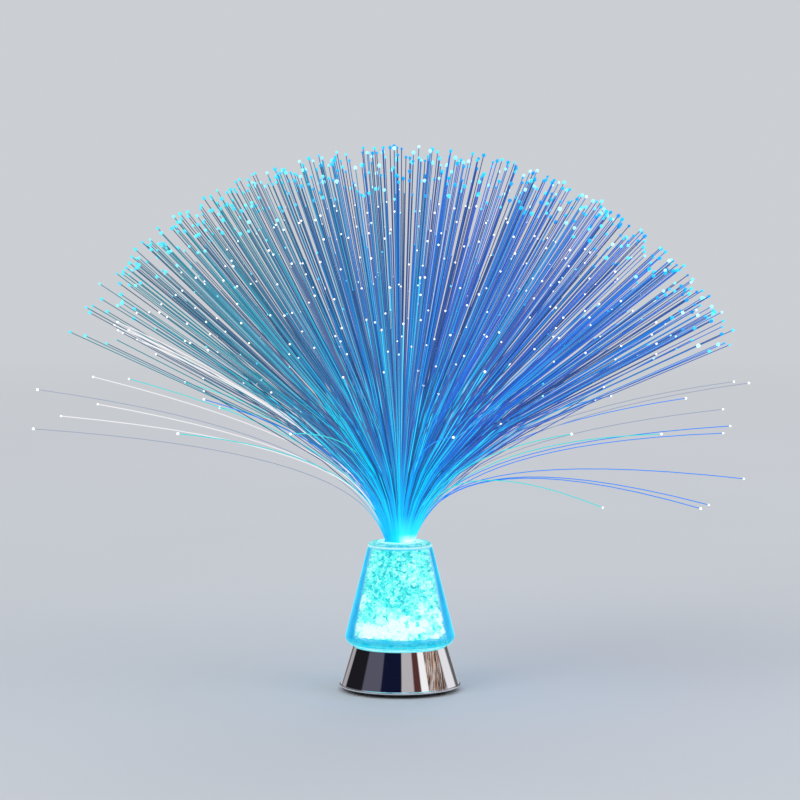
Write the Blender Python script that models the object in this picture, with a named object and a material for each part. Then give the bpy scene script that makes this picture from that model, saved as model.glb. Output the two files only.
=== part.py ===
"""Fibre optic lamp: a chromed base with cells and lights, a clear cone of crystal chips,
and a plume of light-guiding strands that lifts out of the cone."""
import math
import random

import bmesh
import bpy
from mathutils import Matrix, Vector

# Driving dimensions, in metres. The lamp stands on z = 0, and its axis is x = y = 0.
GAP = 0.0003
ROUND_STEPS = 48
SMALL_STEPS = 12
SHARP_ANGLE = math.radians(35)

# Chromed shell
SHELL_FOOT_R = 0.0375
SHELL_FOOT_Z = 0.0026
SHELL_TOP_R = 0.0292
SHELL_TOP_Z = 0.0285
SHELL_WALL = 0.0015
DECK_UNDER_Z = 0.0267
DECK_HOLE_R = 0.0170
SHELL_SLOPE = (SHELL_FOOT_R - SHELL_TOP_R) / (SHELL_TOP_Z - SHELL_FOOT_Z)
SHELL_LIP = 0.0012
BOSS_R = 0.0026
BOSS_FOOT_Z = 0.0072
BOSS_TOP_Z = 0.0120
SCREW_HOLE_R = 0.0013

# Base tray, open upwards, with the battery well upside down in its middle
TRAY_UNDER_Z = 0.0018
TRAY_FLOOR_Z = 0.0038
TRAY_RIM_Z = 0.0065
TRAY_FOOT_R = 0.0349
TRAY_EDGE_Z = 0.0028
TRAY_WALL = 0.0017
WELL_WIDTH = 0.0327
WELL_LENGTH = 0.0500
WELL_CEILING_Z = 0.0149
WELL_ROOF_Z = 0.0164
WELL_WALL = 0.0012
LEDGE_Z = 0.0039
LEDGE_TOP_Z = 0.0056
LEDGE_WIDTH = 0.0018
SCREW_POST_R = 0.0024
SCREW_HEAD_R = 0.0023
SCREW_HEAD_Z = 0.0020
SCREW_PLACES = ((0, -0.0312), (0.0105, 0.0299), (-0.0105, 0.0299))

# Battery door, on two pins at its rear edge
DOOR_WIDTH = 0.0361
DOOR_FRONT_Y = 0.02635
DOOR_THICKNESS = 0.0018
HINGE_Y = -0.0256
HINGE_Z = 0.0029
NOTCH_R = 0.0042
HINGE_R = 0.0011
PIN_R = 0.0005
PIN_LENGTH = 0.0012

# AAA cells
CELL_R = 0.00525
CELL_LENGTH = 0.0445
CELL_PITCH = 0.0108
CELL_AXIS_Z = 0.0094
PLATE = 0.0004
PLATE_Y = WELL_LENGTH / 2 - GAP - PLATE

# Slide switch
SWITCH_X = 0.0270
SWITCH_WIDTH = 0.0062
SWITCH_LENGTH = 0.0124
SWITCH_HEIGHT = 0.0050
SWITCH_TRAVEL = 0.0040
KNOB_LENGTH = 0.0034
KNOB_WIDTH = 0.0022
SLOT_LENGTH = KNOB_LENGTH + SWITCH_TRAVEL + 2 * GAP

# Feet
PAD_R = 0.0036
PAD_PLACES = ((0.0248, 0.0172), (-0.0248, 0.0172), (-0.0248, -0.0172), (0.0248, -0.0172))

# Light board
BOARD_R = 0.0190
BOARD_Z = 0.0186
BOARD_THICKNESS = 0.0016
POST_X = 0.0140
POST_R = 0.0022
POST_TOP_Z = 0.0183
LIGHT_R = 0.0025
LIGHT_RING_R = 0.0060
LIGHT_SKIRT = 0.0009
LIGHT_BARREL = 0.0040

# Clear cone
CONE_UNDER_Z = 0.0291
CONE_RIM_Z = 0.0333
CONE_RIM_R = 0.0344
CONE_SHOULDER_Z = 0.0910
CONE_SHOULDER_R = 0.0195
CONE_TOP_Z = 0.0925
CAVITY_FOOT_Z = 0.0336
CAVITY_FOOT_R = 0.0298
CAVITY_TOP_Z = 0.0893
CAVITY_TOP_R = 0.0179
COLLAR_FLANGE_R = 0.0143
COLLAR_SLEEVE_R = 0.0122
COLLAR_SEAT_Z = 0.0910
COLLAR_TOP_Z = 0.0930
SOCKET_R = 0.0103
TUBE_R = 0.0110
TUBE_TOP_Z = 0.0837
FLOOR_UNDER_Z = 0.0304
SNAP_FOOT_Z = 0.0246
SNAP_LIP = 0.0006

# Crystal chips
CHIP_DEPTH = 0.0016
CHIP_STEPS = 28
CHIP_ROWS = 9

# Plume
BUNDLE_R = 0.0093
FERRULE_R = 0.0099
FERRULE_FOOT_Z = 0.0360
TAIL_FOOT_Z = 0.0350
BACKING_Z = 0.0921
BACKING_THICKNESS = 0.0009
STRAND_PITCH = 0.00094
STRAND_R = 0.00030
PLUME_R = 0.2470
DOME_LEAN = math.radians(58)
SLICE_RADII = (0.0, 0.0044, 0.0067, 0.0087)
STRAY_START = math.radians(-99)
STRAY_FOOT_LEAN = math.radians(20)
FOOT_SPAN = 0.11
DOME_FOOT = 0.30
DOME_BEND = 0.30
DOME_BEND_SPAN = 0.27
CORE_STATIONS = (0.30, 0.65, 1)
DOME_STATIONS = (0.20, 0.45, 0.70, 1)
STRAY_STATIONS = (0.17, 0.34, 0.50, 0.66, 0.83, 1)

# Strands that leave the dome: where each tip is, in metres from the middle of the
# backing (right, back, up), and the point that the strand bends over at: its lean from
# upright, in degrees, and its distance from the root as a share of the strand's span.
STRAYS = (
    (-0.2218, -0.0550, 0.0752, 28, 0.28),
    (-0.2217, -0.0300, 0.0968, 24, 0.32),
    (-0.2058, -0.0450, 0.0820, 10, 0.28),
    (-0.1890, 0.0200, 0.0832, 10, 0.28),
    (-0.1849, -0.0600, 0.1072, 8, 0.28),
    (-0.1725, 0.0600, 0.0957, 13, 0.31),
    (-0.1420, 0.1450, 0.0860, 18, 0.32),
    (-0.1330, -0.0820, 0.0751, 17, 0.36),
    (-0.1210, 0.1800, 0.0660, 18, 0.32),
    (-0.1156, -0.1100, 0.0983, 16, 0.35),
    (-0.0640, -0.1300, 0.0797, 13, 0.48),
    (-0.0320, 0.2110, 0.0700, 18, 0.32),
    (0.0300, -0.2100, 0.0860, 18, 0.32),
    (0.0640, 0.2080, 0.0760, 18, 0.32),
    (0.1010, -0.1180, 0.0786, 22, 0.36),
    (0.1210, -0.0900, 0.0315, 14, 0.46),
    (0.1400, 0.1560, 0.0760, 18, 0.32),
    (0.1569, -0.0750, 0.0741, 24, 0.39),
    (0.1811, -0.0700, 0.0284, 22, 0.38),
    (0.1870, -0.0560, 0.0290, 20, 0.37),
    (0.1850, 0.0960, 0.0800, 18, 0.32),
    (0.1968, -0.0380, 0.0855, 14, 0.31),
    (0.1991, -0.0150, 0.0685, 24, 0.33),
    (0.2090, 0.0450, 0.0670, 18, 0.29),
    (0.2128, 0.0640, 0.0935, 20, 0.34),
    (0.2159, 0.0250, 0.0357, 14, 0.29),
    (0.2191, 0.0300, 0.0956, 22, 0.34),
)


def finish(name, colour, roughness, metallic=0.0, transmission=0.0, glow=0.0):
    """A plain surface: its colour, how matt and how metallic it is, and how clear."""
    material = bpy.data.materials.new(name)
    material.use_nodes = True
    shader = material.node_tree.nodes["Principled BSDF"]
    shader.inputs["Base Color"].default_value = (*colour, 1)
    shader.inputs["Roughness"].default_value = roughness
    shader.inputs["Metallic"].default_value = metallic
    shader.inputs["Transmission Weight"].default_value = transmission
    shader.inputs["Emission Color"].default_value = (*colour, 1)
    shader.inputs["Emission Strength"].default_value = glow
    material.diffuse_color = (*colour, 1)
    return material


def turned(profile, steps=ROUND_STEPS, closed=True):
    """Turn a (radius, height) outline round the lamp's axis."""
    shape = bmesh.new()
    points = [shape.verts.new((radius, 0, height)) for radius, height in profile]
    following = points[1:] + points[:1] if closed else points[1:]
    edges = [shape.edges.new(pair) for pair in zip(points, following)]
    bmesh.ops.spin(
        shape, geom=points + edges, cent=(0, 0, 0), axis=(0, 0, 1),
        angle=2 * math.pi, steps=steps, use_merge=True,
    )
    bmesh.ops.remove_doubles(shape, verts=shape.verts, dist=0.000002)
    bmesh.ops.recalc_face_normals(shape, faces=shape.faces)
    return shape


def rounding(centre_r, centre_z, radius, start, end, steps=3):
    """Points of an arc of an outline, with its angles in degrees from outward."""
    angles = [math.radians(start + (end - start) * i / steps) for i in range(steps + 1)]
    return [
        (centre_r + radius * math.cos(a), centre_z + radius * math.sin(a)) for a in angles
    ]


def add_block(shape, low, high, corner=0.0):
    """Add a block between two opposite corners, its upright edges cut back by corner."""
    low, high = Vector(low), Vector(high)
    size = Matrix.Diagonal((*(high - low), 1))
    made = bmesh.ops.create_cube(
        shape, size=1, matrix=Matrix.Translation((low + high) / 2) @ size
    )
    if corner:
        edges = {e for v in made["verts"] for e in v.link_edges}
        upright = [e for e in edges if abs(e.verts[0].co.z - e.verts[1].co.z) > 1e-6]
        bmesh.ops.bevel(
            shape, geom=upright, offset=corner, offset_type="OFFSET", segments=2,
            profile=0.5, affect="EDGES", clamp_overlap=True, material=-1,
        )


def add_rod(shape, radius, start, end, steps=SMALL_STEPS, end_radius=None):
    """Add a round rod between two points."""
    start, end = Vector(start), Vector(end)
    run = end - start
    turn = run.to_track_quat("Z", "Y").to_matrix().to_4x4()
    bmesh.ops.create_cone(
        shape, cap_ends=True, cap_tris=False, segments=steps, radius1=radius,
        radius2=radius if end_radius is None else end_radius, depth=run.length,
        matrix=Matrix.Translation((start + end) / 2) @ turn,
    )


def centre_line(name, place):
    """An empty on a moving body's joint axis."""
    mark = bpy.data.objects.new(name, None)
    mark.empty_display_size = 0.01
    mark.location = place
    bpy.context.scene.collection.objects.link(mark)
    return mark


def add_piece(name, shape, surface, origin=(0, 0, 0), carrier=None, smooth=True):
    """Give a shape drawn in the lamp's frame its own origin, surface and carrier."""
    origin = Vector(origin)
    bmesh.ops.translate(shape, verts=shape.verts, vec=-origin)
    mesh = bpy.data.meshes.new(name)
    shape.to_mesh(mesh)
    shape.free()
    mesh.materials.append(surface)
    if smooth:
        mesh.shade_smooth()
        mesh.set_sharp_from_angle(angle=SHARP_ANGLE)
    piece = bpy.data.objects.new(name, mesh)
    bpy.context.scene.collection.objects.link(piece)
    piece.location = origin
    if carrier:
        piece.parent = carrier
        piece.location = origin - carrier.location
    return piece


def shape_with(piece, name, tool, operation):
    """Join to a piece, or cut from it, a hidden shape drawn in the lamp's frame."""
    mesh = bpy.data.meshes.new(name)
    bmesh.ops.recalc_face_normals(tool, faces=tool.faces)
    tool.to_mesh(mesh)
    tool.free()
    helper = bpy.data.objects.new(name, mesh)
    helper.hide_render = True
    helper.display_type = "WIRE"
    bpy.context.scene.collection.objects.link(helper)
    change = piece.modifiers.new(name, "BOOLEAN")
    change.operation = operation
    change.solver = "EXACT"
    change.object = helper


def shell_outer(height):
    """Outer radius of the chromed shell at a height."""
    return SHELL_FOOT_R - SHELL_SLOPE * (height - SHELL_FOOT_Z)


def shell_inner(height):
    """Inner radius of the chromed shell at a height."""
    return shell_outer(height) - SHELL_WALL * math.hypot(1, SHELL_SLOPE)


def cavity_radius(height):
    """Radius of the cone's hollow at a height."""
    share = (height - CAVITY_FOOT_Z) / (CAVITY_TOP_Z - CAVITY_FOOT_Z)
    return CAVITY_FOOT_R + share * (CAVITY_TOP_R - CAVITY_FOOT_R)


def make_shell(surface):
    lip_z = SHELL_FOOT_Z + SHELL_LIP
    outline = [
        (shell_inner(SHELL_FOOT_Z), SHELL_FOOT_Z),
        (SHELL_FOOT_R - 0.0001, SHELL_FOOT_Z),
        (SHELL_FOOT_R + 0.0003, SHELL_FOOT_Z + 0.0004),
        (SHELL_FOOT_R + 0.0002, lip_z),
        (shell_outer(lip_z + 0.0003), lip_z + 0.0003),
        (shell_outer(SHELL_TOP_Z - 0.0010), SHELL_TOP_Z - 0.0010),
        (SHELL_TOP_R - 0.0003, SHELL_TOP_Z - 0.0003),
        (SHELL_TOP_R - 0.0010, SHELL_TOP_Z),
        (DECK_HOLE_R, SHELL_TOP_Z),
        (DECK_HOLE_R, DECK_UNDER_Z),
        (shell_inner(DECK_UNDER_Z), DECK_UNDER_Z),
    ]
    shell = add_piece("base_shell", turned(outline), surface, (0, 0, SHELL_FOOT_Z))
    bosses = bmesh.new()
    for x, y in SCREW_PLACES:
        add_rod(bosses, BOSS_R, (x, y, BOSS_FOOT_Z), (x, y, BOSS_TOP_Z), 12)
    shape_with(shell, "base_shell_bosses", bosses, "UNION")
    holes = bmesh.new()
    for x, y in SCREW_PLACES:
        low, high = BOSS_FOOT_Z - 0.001, BOSS_TOP_Z - 0.0006
        add_rod(holes, SCREW_HOLE_R, (x, y, low), (x, y, high), 8)
    shape_with(shell, "base_shell_screw_holes", holes, "DIFFERENCE")


def make_tray(surface):
    outline = [
        (0, TRAY_UNDER_Z),
        (TRAY_FOOT_R, TRAY_UNDER_Z),
        (shell_inner(TRAY_EDGE_Z) - GAP, TRAY_EDGE_Z),
        (shell_inner(TRAY_RIM_Z) - GAP, TRAY_RIM_Z),
        (shell_inner(TRAY_RIM_Z) - TRAY_WALL, TRAY_RIM_Z),
        (shell_inner(TRAY_FLOOR_Z) - TRAY_WALL, TRAY_FLOOR_Z),
        (0, TRAY_FLOOR_Z),
    ]
    shape = turned(outline, closed=False)
    tray = add_piece("base_tray", shape, surface, (0, 0, TRAY_UNDER_Z))
    half_x = WELL_WIDTH / 2 + WELL_WALL
    half_y = WELL_LENGTH / 2 + WELL_WALL
    flange_x = DOOR_WIDTH / 2 + LEDGE_WIDTH
    flange_y = DOOR_FRONT_Y + LEDGE_WIDTH
    low_z = TRAY_FLOOR_Z - 0.0008
    flange = bmesh.new()
    low = (-flange_x, -flange_y, low_z)
    add_block(flange, low, (flange_x, flange_y, LEDGE_TOP_Z), 0.004)
    shape_with(tray, "well_flange", flange, "UNION")
    box = bmesh.new()
    add_block(box, (-half_x, -half_y, low_z), (half_x, half_y, WELL_ROOF_Z), 0.002)
    shape_with(tray, "well_box", box, "UNION")
    posts = bmesh.new()
    for x in (-POST_X, POST_X):
        add_rod(posts, POST_R, (x, 0, WELL_ROOF_Z - 0.0006), (x, 0, POST_TOP_Z), 12)
    for x, y in SCREW_PLACES:
        add_rod(posts, SCREW_POST_R, (x, y, low_z), (x, y, BOSS_FOOT_Z - GAP), 12)
    shape_with(tray, "tray_posts", posts, "UNION")
    well = bmesh.new()
    add_block(
        well, (-WELL_WIDTH / 2, -WELL_LENGTH / 2, 0),
        (WELL_WIDTH / 2, WELL_LENGTH / 2, WELL_CEILING_Z), 0.0008,
    )
    shape_with(tray, "well", well, "DIFFERENCE")
    recess = bmesh.new()
    recess_x = DOOR_WIDTH / 2 + GAP
    hinge_back = HINGE_Y - HINGE_R - GAP
    add_block(
        recess, (-recess_x, hinge_back, 0), (recess_x, DOOR_FRONT_Y + GAP, LEDGE_Z)
    )
    shape_with(tray, "door_recess", recess, "DIFFERENCE")
    barrel = bmesh.new()
    add_rod(
        barrel, HINGE_R + GAP, (-recess_x, HINGE_Y, HINGE_Z), (recess_x, HINGE_Y, HINGE_Z)
    )
    shape_with(tray, "hinge_hollow", barrel, "DIFFERENCE")
    pins = bmesh.new()
    pin_end = recess_x + PIN_LENGTH
    add_rod(
        pins, PIN_R + GAP, (-pin_end, HINGE_Y, HINGE_Z), (pin_end, HINGE_Y, HINGE_Z), 12
    )
    shape_with(tray, "pin_holes", pins, "DIFFERENCE")
    make_tray_cuts(tray)


def make_tray_cuts(tray):
    """Screw holes, foot recesses, the finger notch and the switch's slot and scoop."""
    cuts = bmesh.new()
    for x, y in SCREW_PLACES:
        add_rod(cuts, SCREW_HEAD_R + 0.0004, (x, y, 0.0010), (x, y, 0.0034), 12)
    for x, y in PAD_PLACES:
        add_rod(cuts, PAD_R + GAP, (x, y, 0.0010), (x, y, TRAY_UNDER_Z + 0.0005))
    half = SLOT_LENGTH / 2 + 0.0018
    add_block(
        cuts, (SWITCH_X - 0.0030, -half, 0.0010),
        (SWITCH_X + 0.0030, half, TRAY_UNDER_Z + 0.0007), 0.0020,
    )
    add_rod(cuts, NOTCH_R, (0, DOOR_FRONT_Y, 0.0010), (0, DOOR_FRONT_Y, 0.0030))
    shape_with(tray, "tray_recesses", cuts, "DIFFERENCE")
    holes = bmesh.new()
    for x, y in SCREW_PLACES:
        add_rod(holes, SCREW_HOLE_R, (x, y, 0.0020), (x, y, 0.0080), 8)
    for x in (-POST_X, POST_X):
        add_rod(holes, POST_R / 2, (x, 0, 0.0157), (x, 0, 0.0190), 8)
    side = KNOB_WIDTH / 2 + GAP
    add_block(
        holes, (SWITCH_X - side, -SLOT_LENGTH / 2, 0.0010),
        (SWITCH_X + side, SLOT_LENGTH / 2, 0.0045),
    )
    for x, y in ((-CELL_PITCH, 1), (CELL_PITCH, -1)):
        near, far = sorted((y * 0.0245, y * 0.0265))
        add_block(holes, (x - 0.0018, near, 0.0115), (x + 0.0018, far, 0.0131))
    shape_with(tray, "tray_holes", holes, "DIFFERENCE")


def make_door(surface):
    hinge = centre_line("door_hinge_axis", (0, HINGE_Y, HINGE_Z))
    top_z = TRAY_UNDER_Z + DOOR_THICKNESS
    half_x = DOOR_WIDTH / 2
    plate = bmesh.new()
    low = (-half_x, HINGE_Y, TRAY_UNDER_Z)
    add_block(plate, low, (half_x, DOOR_FRONT_Y, top_z))
    place = (0, HINGE_Y, HINGE_Z)
    door = add_piece("battery_door", plate, surface, place, hinge, smooth=False)
    barrel = bmesh.new()
    add_rod(barrel, HINGE_R, (-half_x, HINGE_Y, HINGE_Z), (half_x, HINGE_Y, HINGE_Z))
    shape_with(door, "door_barrel", barrel, "UNION")
    pins = bmesh.new()
    pin_end = half_x + PIN_LENGTH
    add_rod(pins, PIN_R, (-pin_end, HINGE_Y, HINGE_Z), (pin_end, HINGE_Y, HINGE_Z), 12)
    shape_with(door, "door_pins", pins, "UNION")
    grips = bmesh.new()
    for row in range(4):
        y = DOOR_FRONT_Y - 0.0080 + 0.0018 * row
        add_block(
            grips, (-0.0050, y - 0.0004, 0.0010), (0.0050, y + 0.0004, TRAY_UNDER_Z + 0.0005)
        )
    shape_with(door, "door_grip_grooves", grips, "DIFFERENCE")


def make_cells(surfaces):
    """Three cells side by side, the middle one turned end for end."""
    nub = 0.0011
    body = CELL_LENGTH - nub
    outline = [
        (0, 0),
        (CELL_R - 0.0006, 0),
        (CELL_R, 0.0005),
        (CELL_R, body - 0.0005),
        (CELL_R - 0.0006, body),
        (0.0019, body),
        (0.0018, CELL_LENGTH),
        (0, CELL_LENGTH),
    ]
    for number, way in enumerate((1, -1, 1)):
        shape = turned(outline, 16, closed=False)
        start = PLATE_Y - GAP - CELL_LENGTH
        lay = Matrix.Rotation(math.radians(-90 * way), 4, "X")
        place = Vector(((number - 1) * CELL_PITCH, way * start, CELL_AXIS_Z))
        bmesh.ops.transform(shape, matrix=Matrix.Translation(place) @ lay, verts=shape.verts)
        add_piece(f"battery_{number + 1}", shape, surfaces, place)


def contact_spring(end_y, way):
    """Three turns of square-set wire that lean on a cell's flat end."""
    wire, coil_r, pitch, turns = 0.00026, 0.0026, 0.00105, 3
    shape = bmesh.new()
    made = bmesh.ops.create_circle(
        shape, segments=4, radius=wire,
        matrix=Matrix.Translation((coil_r, 0, 0)) @ Matrix.Rotation(math.pi / 2, 4, "X"),
    )
    ring = made["verts"]
    edges = {e for v in ring for e in v.link_edges}
    steps = 10 * turns
    bmesh.ops.spin(
        shape, geom=[*ring, *edges], cent=(0, 0, 0), axis=(0, 0, 1),
        dvec=(0, 0, pitch * turns / steps), angle=2 * math.pi * turns, steps=steps,
    )
    bmesh.ops.holes_fill(shape, edges=shape.edges, sides=4)
    lay = Matrix.Rotation(math.radians(-90 * way), 4, "X")
    bmesh.ops.transform(
        shape, matrix=Matrix.Translation((0, end_y, 0)) @ lay, verts=shape.verts
    )
    bmesh.ops.recalc_face_normals(shape, faces=shape.faces)
    return shape


def make_contacts(surface):
    """Two end terminals and two bridges: name, end of the well, cells, sprung cell, tab."""
    kinds = (
        ("positive_contact", 1, (0, 0), None, 0),
        ("contact_bridge_1", -1, (0, 1), 0, None),
        ("contact_bridge_2", 1, (1, 2), 1, None),
        ("negative_contact", -1, (2, 2), 2, 2),
    )
    low_z, high_z, half = 0.0052, 0.0136, 0.0042
    for name, end, (first, last), sprung, tab in kinds:
        shape = bmesh.new()
        left = (first - 1) * CELL_PITCH - half
        right = (last - 1) * CELL_PITCH + half
        near, far = sorted((end * PLATE_Y, end * (PLATE_Y + PLATE)))
        add_block(shape, (left, near, low_z), (right, far, high_z))
        plate = add_piece(name, shape, surface, (left, near, low_z), smooth=False)
        if sprung is not None:
            spring = contact_spring(end * (PLATE_Y + 0.0001), -end)
            x = (sprung - 1) * CELL_PITCH
            bmesh.ops.translate(spring, verts=spring.verts, vec=(x, 0, CELL_AXIS_Z))
            shape_with(plate, name + "_spring", spring, "UNION")
        if tab is not None:
            x = (tab - 1) * CELL_PITCH
            near, far = sorted((end * (PLATE_Y + 0.0002), end * 0.0278))
            tongue = bmesh.new()
            add_block(tongue, (x - 0.0014, near, 0.0121), (x + 0.0014, far, 0.0125))
            shape_with(plate, name + "_tab", tongue, "UNION")


def make_switch(housing, knob):
    body = bmesh.new()
    base_z = TRAY_FLOOR_Z + GAP
    half_x, half_y = SWITCH_WIDTH / 2, SWITCH_LENGTH / 2
    low = (SWITCH_X - half_x, -half_y, base_z)
    add_block(body, low, (SWITCH_X + half_x, half_y, base_z + SWITCH_HEIGHT), 0.0006)
    switch = add_piece("switch_body", body, housing, low, smooth=False)
    slot = bmesh.new()
    side = KNOB_WIDTH / 2 + GAP
    add_block(
        slot, (SWITCH_X - side, -SLOT_LENGTH / 2, base_z - 0.001),
        (SWITCH_X + side, SLOT_LENGTH / 2, base_z + 0.0018),
    )
    shape_with(switch, "switch_body_slot", slot, "DIFFERENCE")
    rest_y = SWITCH_TRAVEL / 2
    track = centre_line("switch_track", (SWITCH_X, rest_y, TRAY_UNDER_Z))
    stem = bmesh.new()
    half_x, half_y = KNOB_WIDTH / 2, KNOB_LENGTH / 2
    add_block(
        stem, (SWITCH_X - half_x, rest_y - half_y, 0.0007),
        (SWITCH_X + half_x, rest_y + half_y, base_z + 0.0014), 0.0003,
    )
    place = (SWITCH_X, rest_y, TRAY_UNDER_Z)
    slider = add_piece("switch_knob", stem, knob, place, track, smooth=False)
    ridges = bmesh.new()
    for row in (-1, 0, 1):
        y = rest_y + row * 0.0009
        low = (SWITCH_X - 0.002, y - 0.0002, 0.0002)
        add_block(ridges, low, (SWITCH_X + 0.002, y + 0.0002, 0.0010))
    shape_with(slider, "knob_grooves", ridges, "DIFFERENCE")


def make_board(board_surface, light_surface, screw_surface):
    top_z = BOARD_Z + BOARD_THICKNESS
    shape = bmesh.new()
    add_rod(shape, BOARD_R, (0, 0, BOARD_Z), (0, 0, top_z), 40)
    board = add_piece("light_board", shape, board_surface, (0, 0, BOARD_Z))
    parts = bmesh.new()
    add_rod(parts, 0.0024, (0, 0, top_z - 0.0003), (0, 0, top_z + 0.0008), 12, 0.0014)
    for x, y in ((0.0110, 0.0070), (-0.0110, -0.0070), (0.0020, -0.0125)):
        low = (x - 0.0015, y - 0.0008, top_z - 0.0003)
        add_block(parts, low, (x + 0.0015, y + 0.0008, top_z + 0.0006))
    shape_with(board, "board_parts", parts, "UNION")
    holes = bmesh.new()
    for x in (-POST_X, POST_X):
        add_rod(holes, 0.0012, (x, 0, BOARD_Z - 0.001), (x, 0, top_z + 0.001), 8)
    shape_with(board, "board_holes", holes, "DIFFERENCE")
    base = top_z + GAP
    bulb = [
        (0, base),
        (LIGHT_R + 0.0004, base),
        (LIGHT_R + 0.0004, base + LIGHT_SKIRT),
        (LIGHT_R, base + LIGHT_SKIRT),
        (LIGHT_R, base + LIGHT_BARREL),
        *rounding(0, base + LIGHT_BARREL, LIGHT_R, 22.5, 90, 3),
    ]
    bulb[-1] = (0, bulb[-1][1])
    for number in range(3):
        angle = math.radians(90 + 120 * number)
        place = (LIGHT_RING_R * math.cos(angle), LIGHT_RING_R * math.sin(angle), 0)
        light = turned(bulb, SMALL_STEPS, closed=False)
        bmesh.ops.translate(light, verts=light.verts, vec=place)
        add_piece(f"light_{number + 1}", light, light_surface, (place[0], place[1], base))
    for number, x in enumerate((-POST_X, POST_X)):
        screw = bmesh.new()
        add_rod(screw, 0.0018, (x, 0, top_z + GAP), (x, 0, top_z + 0.0014), 12, 0.0012)
        place = (x, 0, top_z)
        driver = add_piece(f"board_screw_{number + 1}", screw, screw_surface, place)
        shank = bmesh.new()
        add_rod(shank, 0.0008, (x, 0, 0.0160), (x, 0, top_z + 0.0006), 8)
        shape_with(driver, f"board_screw_{number + 1}_shank", shank, "UNION")


def make_base_screws(surface):
    for number, (x, y) in enumerate(SCREW_PLACES):
        screw = bmesh.new()
        high = (x, y, SCREW_HEAD_Z + 0.0011)
        add_rod(screw, 0.0017, (x, y, SCREW_HEAD_Z), high, 12, SCREW_HEAD_R)
        name = f"base_screw_{number + 1}"
        driver = add_piece(name, screw, surface, (x, y, SCREW_HEAD_Z))
        shank = bmesh.new()
        add_rod(shank, 0.0010, (x, y, 0.0026), (x, y, 0.0108), 8)
        shape_with(driver, name + "_shank", shank, "UNION")
        cross = bmesh.new()
        add_block(cross, (x - 0.0011, y - 0.0002, 0.0015), (x + 0.0011, y + 0.0002, 0.0025))
        shape_with(driver, name + "_slot", cross, "DIFFERENCE")


def make_pads(surface):
    top_z = TRAY_UNDER_Z + 0.0002
    outline = [
        (0, 0),
        (PAD_R - 0.0005, 0),
        (PAD_R, 0.0005),
        (PAD_R, top_z),
        (0, top_z),
    ]
    for number, (x, y) in enumerate(PAD_PLACES):
        pad = turned(outline, SMALL_STEPS, closed=False)
        bmesh.ops.translate(pad, verts=pad.verts, vec=(x, y, 0))
        add_piece(f"foot_pad_{number + 1}", pad, surface, (x, y, 0))


def make_wire(name, stations, surface):
    """A thin insulated wire along a smooth curve through its stations."""
    path = bpy.data.curves.new(name, "CURVE")
    path.dimensions = "3D"
    path.bevel_depth = 0.0006
    path.bevel_resolution = 1
    path.use_fill_caps = True
    spline = path.splines.new("POLY")
    points = smooth_path([Vector(s) for s in stations], 4)
    spline.points.add(len(points) - 1)
    for point, place in zip(spline.points, points):
        point.co = (*place, 1)
    path.materials.append(surface)
    wire = bpy.data.objects.new(name, path)
    bpy.context.scene.collection.objects.link(wire)


def smooth_path(stations, steps):
    """Points of a smooth curve that passes through every station."""
    ends = [2 * stations[0] - stations[1], *stations, 2 * stations[-1] - stations[-2]]
    points = []
    for a, b, c, d in zip(ends, ends[1:], ends[2:], ends[3:]):
        for i in range(steps):
            t = i / steps
            points.append(
                b + t * (c - a) / 2 + t * t * (a - 2.5 * b + 2 * c - d / 2)
                + t ** 3 * (3 * (b - c) + d - a) / 2
            )
    return [*points, stations[-1]]


def make_cone(surface):
    outline = [
        (CAVITY_FOOT_R, CONE_UNDER_Z),
        (CONE_RIM_R - 0.0030, CONE_UNDER_Z),
        *rounding(CONE_RIM_R - 0.0026, CONE_RIM_Z - 0.0006, 0.0026, -75, 10, 3),
        *rounding(CONE_SHOULDER_R - 0.0018, CONE_SHOULDER_Z - 0.0003, 0.0018, 10, 90, 2),
        (COLLAR_FLANGE_R + GAP, CONE_TOP_Z),
        (COLLAR_FLANGE_R + GAP, COLLAR_SEAT_Z),
        (COLLAR_SLEEVE_R + GAP, COLLAR_SEAT_Z),
        (COLLAR_SLEEVE_R + GAP, CAVITY_TOP_Z),
        (CAVITY_TOP_R - 0.0010, CAVITY_TOP_Z),
        (cavity_radius(CAVITY_TOP_Z - 0.0010), CAVITY_TOP_Z - 0.0010),
        (CAVITY_FOOT_R, CAVITY_FOOT_Z),
    ]
    add_piece("crystal_cone", turned(outline), surface, (0, 0, CONE_UNDER_Z))


def make_cone_floor(surface):
    """The clear disc under the chips, with a ring that snaps into the shell's deck."""
    top_z = CAVITY_FOOT_Z - GAP
    disc_r = CAVITY_FOOT_R - GAP
    ring_r = DECK_HOLE_R - GAP
    outline = [
        (0, FLOOR_UNDER_Z),
        (ring_r - 0.0016, FLOOR_UNDER_Z),
        (ring_r - 0.0016, SNAP_FOOT_Z),
        (ring_r, SNAP_FOOT_Z),
        (ring_r + SNAP_LIP, SNAP_FOOT_Z + 0.0008),
        (ring_r + SNAP_LIP, SNAP_FOOT_Z + 0.0014),
        (ring_r, DECK_UNDER_Z - GAP),
        (ring_r, SHELL_TOP_Z + GAP),
        (disc_r, SHELL_TOP_Z + GAP),
        (disc_r, top_z),
        (0, top_z),
    ]
    shape = turned(outline, 32, closed=False)
    add_piece("cone_floor", shape, surface, (0, 0, SHELL_TOP_Z + GAP))


def make_guide_tube(surface):
    outline = [
        (SOCKET_R, CAVITY_FOOT_Z),
        (TUBE_R, CAVITY_FOOT_Z),
        (TUBE_R, TUBE_TOP_Z),
        (SOCKET_R, TUBE_TOP_Z),
    ]
    add_piece("guide_tube", turned(outline, 24), surface, (0, 0, CAVITY_FOOT_Z))


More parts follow.
